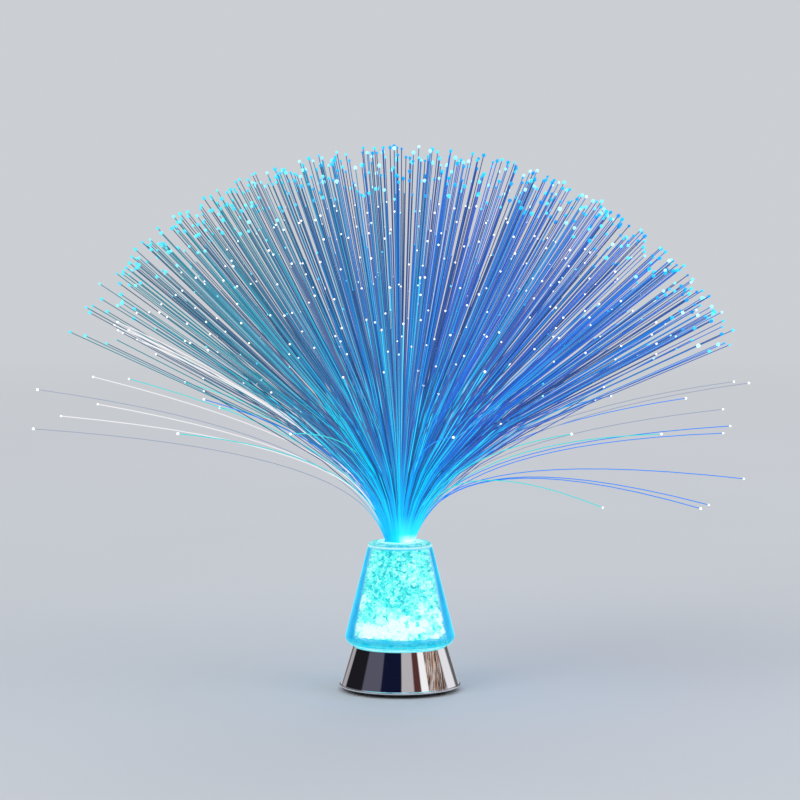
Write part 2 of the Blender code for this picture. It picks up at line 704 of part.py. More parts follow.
def make_collar(surface):
    sleeve_foot = TUBE_TOP_Z + GAP
    flange_z = COLLAR_SEAT_Z + GAP
    outline = [
        (SOCKET_R, sleeve_foot),
        (COLLAR_SLEEVE_R, sleeve_foot),
        (COLLAR_SLEEVE_R, flange_z),
        (COLLAR_FLANGE_R, flange_z),
        *rounding(COLLAR_FLANGE_R - 0.0008, COLLAR_TOP_Z - 0.0008, 0.0008, 0, 90, 2),
        (SOCKET_R + 0.0004, COLLAR_TOP_Z),
        (SOCKET_R, COLLAR_TOP_Z - 0.0004),
    ]
    add_piece("collar_ring", turned(outline, 36), surface, (0, 0, COLLAR_TOP_Z))


def make_chips(surface):
    """The packed chips: a ring-shaped mass whose skin steps in and out like chips."""
    chance = random.Random(4)
    foot_z = CAVITY_FOOT_Z + GAP
    top_z = CAVITY_TOP_Z - GAP
    outer = []
    for row in range(CHIP_ROWS + 1):
        height = foot_z + (top_z - foot_z) * row / CHIP_ROWS
        outer.append((cavity_radius(height) - 2 * GAP, height))
    step_z = TUBE_TOP_Z
    inner = [
        (COLLAR_SLEEVE_R + GAP, top_z),
        (COLLAR_SLEEVE_R + GAP, step_z),
        (TUBE_R + GAP, step_z),
        (TUBE_R + GAP, foot_z),
    ]
    shape = turned(outer + inner, CHIP_STEPS)
    skin = [
        v for v in shape.verts
        if abs(v.co.xy.length - (cavity_radius(v.co.z) - 2 * GAP)) < GAP / 2
    ]
    for corner in skin:
        depth = CHIP_DEPTH * chance.random()
        swing = math.radians(360 / CHIP_STEPS) * 0.3 * chance.uniform(-1, 1)
        reach = corner.co.xy.length - depth
        angle = math.atan2(corner.co.y, corner.co.x) + swing
        corner.co.x = reach * math.cos(angle)
        corner.co.y = reach * math.sin(angle)
    bmesh.ops.triangulate(shape, faces=shape.faces)
    add_piece("crystal_chips", shape, surface, (0, 0, foot_z), smooth=False)


def make_ferrule():
    top_z = BACKING_Z - GAP
    outline = [
        (BUNDLE_R - GAP, FERRULE_FOOT_Z),
        (FERRULE_R - 0.0003, FERRULE_FOOT_Z),
        (FERRULE_R, FERRULE_FOOT_Z + 0.0006),
        (FERRULE_R, top_z),
        (BUNDLE_R - GAP, top_z),
    ]
    return turned(outline, 24)


def make_bundle_tail():
    radius = BUNDLE_R - 2 * GAP
    outline = [
        (0, TAIL_FOOT_Z),
        (radius - 0.0003, TAIL_FOOT_Z),
        (radius, TAIL_FOOT_Z + 0.0003),
        (radius, BACKING_Z - GAP),
        (0, BACKING_Z - GAP),
    ]
    return turned(outline, 24, closed=False)


def strand_route(root, tip, foot_lean, bend_lean, bend_span):
    """A strand's curve: it rises from its root at foot_lean, then bends over to its tip."""
    run = tip - root
    away = Vector((run.x, run.y, 0)).normalized()

    def toward(lean, span):
        rise = math.sin(lean) * away + math.cos(lean) * Vector((0, 0, 1))
        return root + span * run.length * rise

    first = toward(foot_lean, FOOT_SPAN)
    second = toward(bend_lean, bend_span)

    def place(t):
        s = 1 - t
        return s ** 3 * root + 3 * s * s * t * first + 3 * s * t * t * second + t ** 3 * tip

    def heading(t):
        s = 1 - t
        course = s * s * (first - root) + 2 * s * t * (second - first)
        return (course + t * t * (tip - second)).normalized()

    return place, heading


def dome_tip(root, chance):
    """The tip of a strand of the dome: leaning further the further out its root is."""
    share = root.xy.length / SLICE_RADII[-1]
    lean = math.acos(1 - (1 - math.cos(DOME_LEAN)) * share ** 2)
    lean += math.radians(1.2) * chance.uniform(-1, 1)
    turn = math.atan2(root.y, root.x) + math.radians(1.5) * chance.uniform(-1, 1)
    reach = PLUME_R * (1 - 0.02 * chance.random())
    out = Vector((math.cos(turn), math.sin(turn), 0))
    centre = Vector((0, 0, BACKING_Z + BACKING_THICKNESS))
    return centre + reach * (math.sin(lean) * out + math.cos(lean) * Vector((0, 0, 1)))


def grow_strand(shape, face, tip, leans, bend_span, stations):
    """Draw one facet of the backing out along its strand's route, station by station."""
    root = face.calc_center_median()
    spokes = [(v.co - root).normalized() for v in face.verts]
    upright = Vector((0, 0, 1))
    place, heading = strand_route(root, tip, *leans, bend_span)
    for t in stations:
        made = bmesh.ops.extrude_discrete_faces(shape, faces=[face])
        face = made["faces"][0]
        centre = place(t)
        turn = upright.rotation_difference(heading(t))
        for corner, spoke in zip(face.verts, spokes):
            corner.co = centre + STRAND_R * (turn @ spoke)


def backing_slice(inner, outer):
    """A ring-shaped slice of the fused bundle's end, faceted like its packed strands."""
    shape = bmesh.new()
    count = 2 * math.ceil(BUNDLE_R / STRAND_PITCH) + 4
    half = count * STRAND_PITCH / 2
    bmesh.ops.create_grid(shape, x_segments=count, y_segments=count, size=half)
    for vertex in shape.verts:
        vertex.co.x += vertex.co.y / 2
        vertex.co.y *= math.sqrt(3) / 2
    middles = [(f, f.calc_center_median().length) for f in shape.faces]
    outside = [f for f, distance in middles if not inner <= distance < outer]
    bmesh.ops.delete(shape, geom=outside, context="FACES")
    for vertex in [v for v in shape.verts if v.is_boundary]:
        middles = [f.calc_center_median() for f in vertex.link_faces]
        inward = sum(middles, Vector()) / len(middles) - vertex.co
        vertex.co += 0.6 * GAP * inward.normalized()
    return shape


def points_back(facet):
    """Whether a triangular facet has one corner to the back of its middle, not two."""
    middle = facet.calc_center_median()
    return sum(1 for v in facet.verts if v.co.y > middle.y) == 1


def grow_slice(name, inner, outer, stray_tips, surface, plume):
    """Grow a strand from every second facet of one slice of the backing."""
    chance = random.Random(name)
    shape = backing_slice(inner, outer)
    made = bmesh.ops.triangulate(shape, faces=shape.faces, quad_method="ALTERNATE")
    facets = sorted(made["faces"], key=lambda f: tuple(f.calc_center_median().xy))
    rooted = [f for f in facets if points_back(f)]
    bmesh.ops.recalc_face_normals(shape, faces=shape.faces)
    if facets[0].normal.z < 0:
        bmesh.ops.reverse_faces(shape, faces=shape.faces)
    top_z = BACKING_Z + BACKING_THICKNESS
    bmesh.ops.translate(shape, verts=shape.verts, vec=(0, 0, top_z))
    rim = [e for e in shape.edges if e.is_boundary]
    skirt = bmesh.ops.extrude_edge_only(shape, edges=rim)
    lowered = [v for v in skirt["geom"] if isinstance(v, bmesh.types.BMVert)]
    for vertex in lowered:
        vertex.co.z = BACKING_Z
    open_edges = [e for e in shape.edges if e.is_boundary]
    bmesh.ops.triangle_fill(shape, use_beauty=True, use_dissolve=False, edges=open_edges)
    taken = stray_owners(rooted, stray_tips)
    stations = DOME_STATIONS if inner else CORE_STATIONS
    for facet in rooted:
        root = facet.calc_center_median()
        if facet in taken:
            grow_strand(shape, facet, *taken[facet], STRAY_STATIONS)
            continue
        tip = dome_tip(root, chance)
        lean = (tip - root).angle(Vector((0, 0, 1)))
        leans = (DOME_FOOT * lean, DOME_BEND * lean)
        grow_strand(shape, facet, tip, leans, DOME_BEND_SPAN, stations)
    bmesh.ops.recalc_face_normals(shape, faces=shape.faces)
    place = (0, 0, BACKING_Z)
    add_piece(name, shape, surface, place, plume, smooth=False)


def stray_owners(rooted, stray_tips):
    """Facets at the bundle's edge for the stray tips, matched in order round the axis."""

    def turn(place):
        return (math.atan2(place.y, place.x) - STRAY_START) % (2 * math.pi)

    top = Vector((0, 0, BACKING_Z + BACKING_THICKNESS))
    ends = [
        (top + Vector(tip), (STRAY_FOOT_LEAN, math.radians(lean)), bend_span)
        for *tip, lean, bend_span in stray_tips
    ]
    ends.sort(key=lambda end: turn(end[0]))
    owners = []
    for end in ends:
        way = end[0].xy.normalized()
        free = [f for f in rooted if f not in owners]
        owners.append(max(free, key=lambda f: f.calc_center_median().xy.dot(way)))
    owners.sort(key=lambda facet: turn(facet.calc_center_median()))
    return dict(zip(owners, ends))


def make_plume(sleeve, fused, strand_surface):
    plume = centre_line("plume_lift_axis", (0, 0, BACKING_Z))
    place = (0, 0, BACKING_Z)
    add_piece("plume_ferrule", make_ferrule(), sleeve, place, plume)
    add_piece("bundle_tail", make_bundle_tail(), fused, place, plume)
    names = ("strands_inner", "strands_middle", "strands_outer")
    for number, name in enumerate(names):
        inner, outer = SLICE_RADII[number], SLICE_RADII[number + 1]
        tips = STRAYS if number == 2 else ()
        grow_slice(name, inner, outer, tips, strand_surface, plume)


def main():
    for thing in list(bpy.data.objects):
        bpy.data.objects.remove(thing)
    chrome = finish("chrome", (0.62, 0.60, 0.62), 0.06, metallic=1)
    black = finish("black_plastic", (0.03, 0.03, 0.035), 0.45)
    rubber = finish("rubber", (0.05, 0.05, 0.055), 0.8)
    steel = finish("steel", (0.6, 0.6, 0.62), 0.3, metallic=1)
    nickel = finish("nickel", (0.7, 0.68, 0.62), 0.25, metallic=1)
    wrap = finish("cell_wrap", (0.12, 0.13, 0.16), 0.35)
    board = finish("board_green", (0.03, 0.22, 0.08), 0.4)
    red = finish("red_wire", (0.6, 0.03, 0.03), 0.45)
    black_wire = finish("black_wire", (0.02, 0.02, 0.02), 0.45)
    clear = finish("clear_acrylic", (0.35, 0.85, 0.95), 0.05, transmission=0.9)
    crystal = finish("lit_crystal", (0.30, 0.92, 0.95), 0.1, transmission=0.3, glow=1)
    light = finish("light_lens", (0.9, 0.97, 1.0), 0.1, glow=2)
    sleeve = finish("frosted_sleeve", (0.75, 0.9, 0.95), 0.4)
    fused = finish("fused_bundle", (0.5, 0.9, 1.0), 0.2, glow=1)
    strands = finish("lit_strand", (0.03, 0.42, 0.9), 0.15, glow=1)
    make_shell(chrome)
    make_tray(black)
    make_door(black)
    make_cells(wrap)
    make_contacts(nickel)
    make_switch(black, black)
    make_board(board, light, steel)
    make_base_screws(steel)
    make_pads(rubber)
    x = CELL_PITCH
    make_wire(
        "red_lead",
        ((-x, 0.0282, 0.0123), (-x, 0.0285, 0.0150), (-x, 0.0245, 0.0178),
         (-x, 0.0200, 0.0178), (-0.0075, 0.0160, 0.0178)),
        red,
    )
    make_wire(
        "black_lead",
        ((x, -0.0282, 0.0123), (x, -0.0285, 0.0150), (x, -0.0245, 0.0178),
         (x, -0.0200, 0.0178), (0.0075, -0.0160, 0.0178)),
        black_wire,
    )
    make_cone(clear)
    make_cone_floor(clear)
    make_guide_tube(clear)
    make_collar(clear)
    make_chips(crystal)
    make_plume(sleeve, fused, strands)


main()
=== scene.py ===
"""Looks of a fibre optic lamp: a chromed base with cells and lights, a clear cone packed
with lit crystal chips, and a plume of light-guiding strands. Metres, +Z up."""
import math
import random

import bmesh
import bpy
from mathutils import Matrix, Vector


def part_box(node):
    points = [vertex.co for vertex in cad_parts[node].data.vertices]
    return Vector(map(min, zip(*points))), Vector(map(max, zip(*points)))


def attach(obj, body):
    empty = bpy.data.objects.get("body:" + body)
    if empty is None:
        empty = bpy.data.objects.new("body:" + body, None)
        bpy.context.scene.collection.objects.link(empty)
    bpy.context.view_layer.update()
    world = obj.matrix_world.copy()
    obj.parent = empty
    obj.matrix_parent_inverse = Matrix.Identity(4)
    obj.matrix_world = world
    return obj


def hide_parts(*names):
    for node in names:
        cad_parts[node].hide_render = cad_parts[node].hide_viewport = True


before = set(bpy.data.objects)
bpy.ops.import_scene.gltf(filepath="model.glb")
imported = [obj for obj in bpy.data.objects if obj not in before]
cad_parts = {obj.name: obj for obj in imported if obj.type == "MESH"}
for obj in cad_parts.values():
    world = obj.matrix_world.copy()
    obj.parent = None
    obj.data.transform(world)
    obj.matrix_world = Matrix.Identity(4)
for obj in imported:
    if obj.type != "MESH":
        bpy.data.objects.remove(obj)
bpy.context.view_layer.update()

UP = Vector((0, 0, 1))

# The gap between neighbouring pieces, two walls, the collar's groove and the slice that
# the strands grow out of, in metres
GAP = 0.0003
SLEEVE_WALL = 0.0006
TUBE_WALL = 0.0007
COLLAR_GROOVE = 0.0006
BACKING = 0.0009

# Edges sharper than this angle stay sharp, and round pieces are turned in these steps
SHARP_ANGLE = math.radians(32)
FINE_STEPS = 160
RING_STEPS = 128
TUBE_STEPS = 96
CORE_STEPS = 72
SMALL_STEPS = 48

# Kinds of bead
COLOURED_BEAD = 1
WHITE_BEAD = 2

# Kinds of light that a strand outside the dome carries, or a short one in it
WHITE = 1
TURQUOISE = 2
BLUE = 3
FAINT = 4
BRIGHT = 5


# Materials

class Wire:
    """A node's output. Sums, products and comparisons on it add Math nodes."""

    def __init__(self, finish, socket):
        self.finish = finish
        self.socket = socket

    def math(self, operation, first, second):
        return self.finish.node(
            "ShaderNodeMath", {"operation": operation}, {0: first, 1: second}
        )

    def __add__(self, other):
        return self.math("ADD", self, other)

    def __radd__(self, other):
        return self.math("ADD", other, self)

    def __sub__(self, other):
        return self.math("SUBTRACT", self, other)

    def __rsub__(self, other):
        return self.math("SUBTRACT", other, self)

    def __mul__(self, other):
        return self.math("MULTIPLY", self, other)

    def __rmul__(self, other):
        return self.math("MULTIPLY", other, self)

    def __truediv__(self, other):
        return self.math("DIVIDE", self, other)

    def __pow__(self, other):
        return self.math("POWER", self, other)

    def __gt__(self, other):
        return self.math("GREATER_THAN", self, other)

    def __lt__(self, other):
        return self.math("LESS_THAN", self, other)


class Finish:
    """A material whose nodes are all made by one method."""

    def __init__(self, name):
        self.material = bpy.data.materials.new(name)
        self.material.use_nodes = True
        self.tree = self.material.node_tree
        self.tree.nodes.clear()

    def node(self, kind, settings=None, inputs=None, output=0):
        """Add a node: its settings first, then its inputs' values or wires."""
        made = self.tree.nodes.new(kind)
        for name, value in (settings or {}).items():
            setattr(made, name, value)
        for key, value in (inputs or {}).items():
            if isinstance(value, Wire):
                self.tree.links.new(value.socket, made.inputs[key])
            else:
                made.inputs[key].default_value = value
        return Wire(self, made.outputs[output]) if made.outputs else None

    def mix(self, share, first, second):
        """A colour between two colours."""
        ends = [c if isinstance(c, Wire) else (*c, 1) for c in (first, second)]
        inputs = {0: share, 6: ends[0], 7: ends[1]}
        return self.node("ShaderNodeMix", {"data_type": "RGBA"}, inputs, output=2)

    def ramp(self, value, *stops):
        """A colour read off a ramp of (place, colour) stops."""
        colour = self.node("ShaderNodeValToRGB", None, {0: value})
        elements = colour.socket.node.color_ramp.elements
        while len(elements) < len(stops):
            elements.new(1)
        for element, (place, tint) in zip(elements, stops):
            element.position = place
            element.color = (*tint, 1)
        return colour

    def place(self):
        """Where a point of the piece is, in the lamp's frame."""
        return self.node("ShaderNodeTexCoord", output=3)

    def axes(self):
        """How far to the right, to the back and up a point of the piece is."""
        first = self.node("ShaderNodeSeparateXYZ", None, {0: self.place()})
        return [Wire(self, socket) for socket in first.socket.node.outputs]

    def height(self):
        return self.axes()[2]

    def own(self, attribute):
        """A number that the piece's mesh carries."""
        settings = {"attribute_name": attribute, "attribute_type": "GEOMETRY"}
        return self.node("ShaderNodeAttribute", settings, output=2)

    def noise(self, scale, detail=2.0, vector=None):
        inputs = {"Vector": vector or self.place(), "Scale": scale, "Detail": detail}
        return self.node("ShaderNodeTexNoise", None, inputs)

    def spread(self, value, low, high, to_low=0.0, to_high=1.0):
        """Stretch the range low..high of a value to another range, and clamp it."""
        inputs = {0: value, 1: low, 2: high, 3: to_low, 4: to_high}
        return self.node("ShaderNodeMapRange", {"clamp": True}, inputs)

    def bump(self, height, distance, strength=1.0):
        inputs = {"Height": height, "Distance": distance, "Strength": strength}
        return self.node("ShaderNodeBump", None, inputs)

    def surface(self, **inputs):
        """The Principled surface, its inputs named with _ for a space."""
        named = {}
        for name, value in inputs.items():
            if name.endswith("_Color") and not isinstance(value, Wire):
                value = (*value, 1)
            named[name.replace("_", " ")] = value
        return self.node("ShaderNodeBsdfPrincipled", None, named)

    def show(self, shader):
        self.node("ShaderNodeOutputMaterial", None, {"Surface": shader})
        return self.material


def moulded_plastic(colour, roughness):
    """Fine moulded plastic: a spark-eroded grain and faint handling marks."""
    f = Finish("moulded_plastic")
    fine = f.noise(2600, 3)
    marks = f.noise(60, 4)
    worn = f.spread(marks, 0.55, 0.75)
    lighter = tuple(min(1, 1.6 * c + 0.012) for c in colour)
    return f.show(f.surface(
        Base_Color=f.mix(worn * 0.5, colour, lighter),
        Roughness=f.spread(fine, 0.3, 0.7, roughness - 0.07, roughness + 0.07),
        Normal=f.bump(fine, 0.00002, 0.6),
    ))


def plated_metal(name, colour, roughness):
    """Plated steel, with long faint scratches and a cloudy polish."""
    f = Finish(name)
    drawn = f.node("ShaderNodeMapping", None, {"Vector": f.place(), "Scale": (1, 1, 14)})
    lines = f.noise(1100, 3, drawn)
    cloud = f.noise(140, 2)
    darker = tuple(0.72 * c for c in colour)
    return f.show(f.surface(
        Base_Color=f.mix(f.spread(cloud, 0.35, 0.7), colour, darker),
        Metallic=1.0,
        Roughness=f.spread(lines, 0.3, 0.7, roughness * 0.7, roughness * 1.4),
        Normal=f.bump(lines, 0.000004),
    ))


def mirror_chrome():
    """Bright chrome plating on plastic: faint waviness, wipe marks and specks of dust."""
    f = Finish("mirror_chrome")
    waves = f.noise(38, 1)
    wiped = f.noise(90, 5)
    specks = f.node(
        "ShaderNodeTexVoronoi", {"feature": "F1"}, {"Vector": f.place(), "Scale": 950}
    )
    dust = (specks < 0.09) * (f.noise(300, 1) > 0.52)
    return f.show(f.surface(
        Base_Color=f.mix(dust * 0.55, (0.86, 0.85, 0.87), (0.50, 0.48, 0.47)),
        Metallic=1.0,
        Roughness=f.spread(wiped, 0.4, 0.75, 0.012, 0.035) + dust * 0.3,
        Normal=f.bump(waves, 0.00035, 0.35),
    ))


def soft_rubber():
    """Matt black rubber, with a little dust in its grain."""
    f = Finish("matt_rubber")
    fine = f.noise(1800, 4)
    dust = f.spread(f.noise(220, 3), 0.5, 0.8)
    return f.show(f.surface(
        Base_Color=f.mix(dust, (0.040, 0.040, 0.043), (0.085, 0.085, 0.085)),
        Roughness=f.spread(fine, 0.3, 0.7, 0.72, 0.9),
        Normal=f.bump(fine, 0.00004, 0.7),
    ))


def cell_sleeve():
    """A cell: bare steel ends, a dark sleeve and a plain coppery band near its cap."""
    f = Finish("cell_sleeve")
    band = f.own("band")
    fine = f.noise(700, 3)
    dark = f.mix(fine, (0.030, 0.034, 0.045), (0.055, 0.060, 0.075))
    copper = f.mix(fine, (0.48, 0.25, 0.11), (0.58, 0.33, 0.16))
    steel = f.mix(fine, (0.55, 0.55, 0.56), (0.70, 0.70, 0.71))
    sleeve = f.mix(band > 0.5, dark, copper)
    return f.show(f.surface(
        Base_Color=f.mix(band > 1.5, sleeve, steel),
        Metallic=f.spread(band, 0.9, 1.6, 0.25, 1.0),
        Roughness=f.spread(fine, 0.3, 0.7, 0.24, 0.36),
        Coat_Weight=f.spread(band, 1.0, 1.5, 0.5, 0.0),
    ))


def board_laminate():
    """Green lacquer over copper tracks, on glass laminate."""
    f = Finish("board_laminate")
    cells = f.node(
        "ShaderNodeTexVoronoi", {"feature": "DISTANCE_TO_EDGE"},
        {"Vector": f.place(), "Scale": 260},
    )
    tracks = cells < 0.12
    weave = f.noise(900, 2)
    lacquer = f.mix(weave, (0.012, 0.12, 0.045), (0.018, 0.17, 0.06))
    return f.show(f.surface(
        Base_Color=f.mix(tracks * 0.75, lacquer, (0.04, 0.26, 0.09)),
        Roughness=f.spread(weave, 0.3, 0.7, 0.25, 0.4),
        Normal=f.bump(tracks, 0.00003, 0.5),
    ))


def wire_skin(name, colour):
    """The plastic skin of a lead, slightly uneven in colour."""
    f = Finish(name)
    fine = f.noise(1500, 3)
    deeper = tuple(0.7 * c for c in colour)
    return f.show(f.surface(
        Base_Color=f.mix(fine, colour, deeper),
        Roughness=f.spread(fine, 0.3, 0.7, 0.3, 0.5),
        Normal=f.bump(fine, 0.00002, 0.5),
    ))


def lit_acrylic(name, tint, glow, strength, clearness=1.0, roughness=0.03):
    """A piece of acrylic that carries the lamp's light."""
    f = Finish(name)
    return f.show(clear_surface(f, tint, glow, strength, clearness, roughness))


def clear_surface(f, tint, glow, strength, clearness=1.0, roughness=0.03):
    """Clear or frosted acrylic, lit from its foot and uneven like poured glass."""
    flow = f.noise(70, 2)
    foot = f.spread(f.height(), cone_foot_z, cone_top_z, 1.0, 0.0)
    pooled = foot ** 2 * 0.6 + f.spread(flow, 0.3, 0.7, 0.2, 0.5)
    deep = tuple(0.35 * c for c in glow)
    return f.surface(
        Base_Color=tint,
        Roughness=f.spread(flow, 0.3, 0.7, roughness * 0.5, roughness * 1.5),
        Transmission_Weight=clearness,
        IOR=1.49,
        Emission_Color=f.mix(pooled, deep, glow),
        Emission_Strength=strength,
    )


EDGE_BLEND = 0.07


def facing_at(share):
    """How edge-on a round wall is seen at a share of its radius from its middle."""
    return 1 - math.sqrt(1 - share * share)


def cone_acrylic_painted_glow():
    """The cone's clear wall, its light painted on as glow. Its thickness shows a painted
    azure glow inside a painted cyan glow at its edge, and its rim is a painted band of cyan
    glow with a pale lip. Its top shows the chips under it as a painted mottled glow, and the
    collar inside it as a painted pale ring."""
    f = Finish("cone_acrylic_painted_glow")
    height = f.height()
    glass = clear_surface(f, (0.86, 1.00, 0.97), (0.00, 0.50, 0.70), 0.03)
    facing = f.node("ShaderNodeLayerWeight", None, {"Blend": 0.5}, output=1)
    flow = f.noise(90, 3)
    mottle = f.spread(f.noise(330, 2), 0.40, 0.60)
    veins = f.spread(flow, 0.35, 0.65)
    # Painted glow in the wall: azure in its thickness, cyan where the wall is seen edge-on
    azure = f.mix(veins, (0.00, 0.37, 0.78), (0.00, 0.51, 0.90))
    cyan = f.mix(veins, (0.00, 0.56, 0.92), (0.00, 0.70, 0.98))
    wall = f.mix(f.spread(facing, 0.64, 0.74), azure, cyan)
    # Painted glow in lighter and darker bands round the rounded rim, up from a pale lip
    rim = f.spread(height, chips_foot_z - 0.0010, chips_foot_z + 0.0006, 1.0, 0.0)
    rings = f.ramp(
        f.spread(height, cone_foot_z, chips_foot_z),
        (0.00, (0.30, 0.96, 0.98)),
        (0.16, (0.18, 0.90, 0.96)),
        (0.24, (0.00, 0.40, 0.62)),
        (0.32, (0.00, 0.72, 0.90)),
        (0.52, (0.00, 0.62, 0.86)),
        (0.64, (0.00, 0.42, 0.64)),
        (1.00, (0.00, 0.56, 0.78)),
    )
    wall = f.mix(rim, wall, f.mix(mottle * 0.25, rings, (0.30, 0.96, 0.92)))
    # Painted glow on the top: the chips under it as mottled aqua and teal, and the collar
    # inside it as a pale ring between teal lines
    above = f.spread(height, cavity_top_z - 0.0002, cavity_top_z + 0.0010)
    face = f.spread(height, cone_top_z - 0.0014, cone_top_z - 0.0004)
    top = f.mix(mottle, (0.00, 0.50, 0.62), (0.30, 0.98, 0.90))
    collar = f.ramp(
        f.spread(height, cavity_top_z - 0.0004, cone_top_z),
        (0.00, (0.00, 0.42, 0.54)),
        (0.12, (0.00, 0.50, 0.62)),
        (0.24, (0.54, 1.00, 0.95)),
        (0.58, (0.62, 1.00, 0.97)),
        (0.70, (0.00, 0.50, 0.62)),
        (0.80, (0.10, 0.70, 0.76)),
        (1.00, (0.30, 0.98, 0.92)),
    )
    top = f.mix(0.8 * (1 - face), top, collar)
    lit = f.surface(
        Base_Color=(0.01, 0.08, 0.12),
        Roughness=f.spread(flow, 0.3, 0.7, 0.04, 0.10),
        Emission_Color=f.mix(above, wall, top),
        Emission_Strength=0.95,
        IOR=1.08,
    )
    # The painted glow covers the wall where it is seen edge-on, the rim and the top;
    # elsewhere the wall is clear glass
    foot_edge = facing_at(cavity_foot_r / cone_rim_r)
    top_edge = facing_at(cavity_top_r / shoulder_r)
    edge = f.spread(height, chips_foot_z, cone_top_z, foot_edge, top_edge)
    share = f.spread(facing - edge, -EDGE_BLEND, 0.0, 0.0, 0.95)
    share = share + rim * f.spread(facing - edge, -EDGE_BLEND, 0.0, 0.88, 0.0)
    edge_on = f.spread(facing - top_edge, -EDGE_BLEND, 0.0, 0.0, 0.9)
    share = (1 - above) * share + above * edge_on
    crown = above * (0.40 + 0.50 * (1 - face))
    share = share.math("MAXIMUM", share, crown)
    return f.show(f.node("ShaderNodeMixShader", None, {0: share, 1: glass, 2: lit}))


def collar_glow():
    """The collar ring, its light painted on as glow: pale aqua, with a teal line down in its
    groove, which is painted shade.
    """
    f = Finish("collar_glow")
    height = f.height()
    cloud = f.spread(f.noise(240, 2), 0.35, 0.65)
    pale = f.mix(cloud, (0.30, 0.93, 0.90), (0.56, 1.00, 0.95))
    # The glow is painted darker teal down in the groove: painted shade
    raised = f.spread(height, collar_top_z - COLLAR_GROOVE, collar_top_z - 0.0002)
    return f.show(f.surface(
        Base_Color=(0.10, 0.30, 0.32),
        Roughness=f.spread(cloud, 0, 1, 0.08, 0.2),
        Emission_Color=f.mix(raised, (0.00, 0.30, 0.40), pale),
        Emission_Strength=0.9,
        IOR=1.49,
    ))


def lit_chip():
    """Crystal chips lit from below, their light painted on as glow: white over the lights, a
    painted pool of light, pale aqua above, and teal gaps, which are painted shade. The glow
    differs from facet to facet at random, a painted sparkle.
    """
    f = Finish("lit_chip")
    height = f.height()
    tone = f.own("tone")
    facet = f.own("facet")
    # A painted pool of light: the chips glow whiter low down, over the lights
    painted_light_pool = f.spread(height, cone_foot_z + 0.012, cone_foot_z + 0.034, 1.0, 0.0)
    patch = f.spread(f.noise(95, 2), 0.35, 0.65)
    small = f.spread(f.noise(420, 1), 0.35, 0.65)
    # Each facet's random share is a painted sparkle; low levels give the teal of the gaps,
    # painted shade
    level = facet * 0.28 + tone * 0.36 + patch * 0.20 + small * 0.12
    level = level + painted_light_pool * (0.20 + 0.26 * patch)
    glow = f.ramp(
        level,
        (0.00, (0.00, 0.28, 0.38)),
        (0.24, (0.00, 0.48, 0.60)),
        (0.38, (0.02, 0.80, 0.80)),
        (0.52, (0.20, 0.96, 0.87)),
        (0.70, (0.54, 1.00, 0.93)),
        (0.92, (1.00, 1.00, 1.00)),
    )
    # The base colour too is lighter on some facets, with the same painted sparkle
    return f.show(f.surface(
        Base_Color=f.mix(facet, (0.01, 0.10, 0.12), (0.05, 0.20, 0.20)),
        Roughness=f.spread(facet, 0, 1, 0.08, 0.22),
        Emission_Color=glow,
        Emission_Strength=0.96,
        IOR=1.49,
    ))


def lit_lens():
    """A light's clear lens, with its lit die inside."""
    f = Finish("lit_lens")
    flow = f.noise(500, 2)
    return f.show(f.surface(
        Base_Color=f.mix(flow, (0.80, 0.95, 1.0), (0.9, 1.0, 1.0)),
        Roughness=f.spread(flow, 0.3, 0.7, 0.05, 0.15),
        Transmission_Weight=0.4,
        Emission_Color=f.mix(flow, (0.35, 0.85, 1.0), (0.75, 0.97, 1.0)),
        Emission_Strength=1.4,
    ))


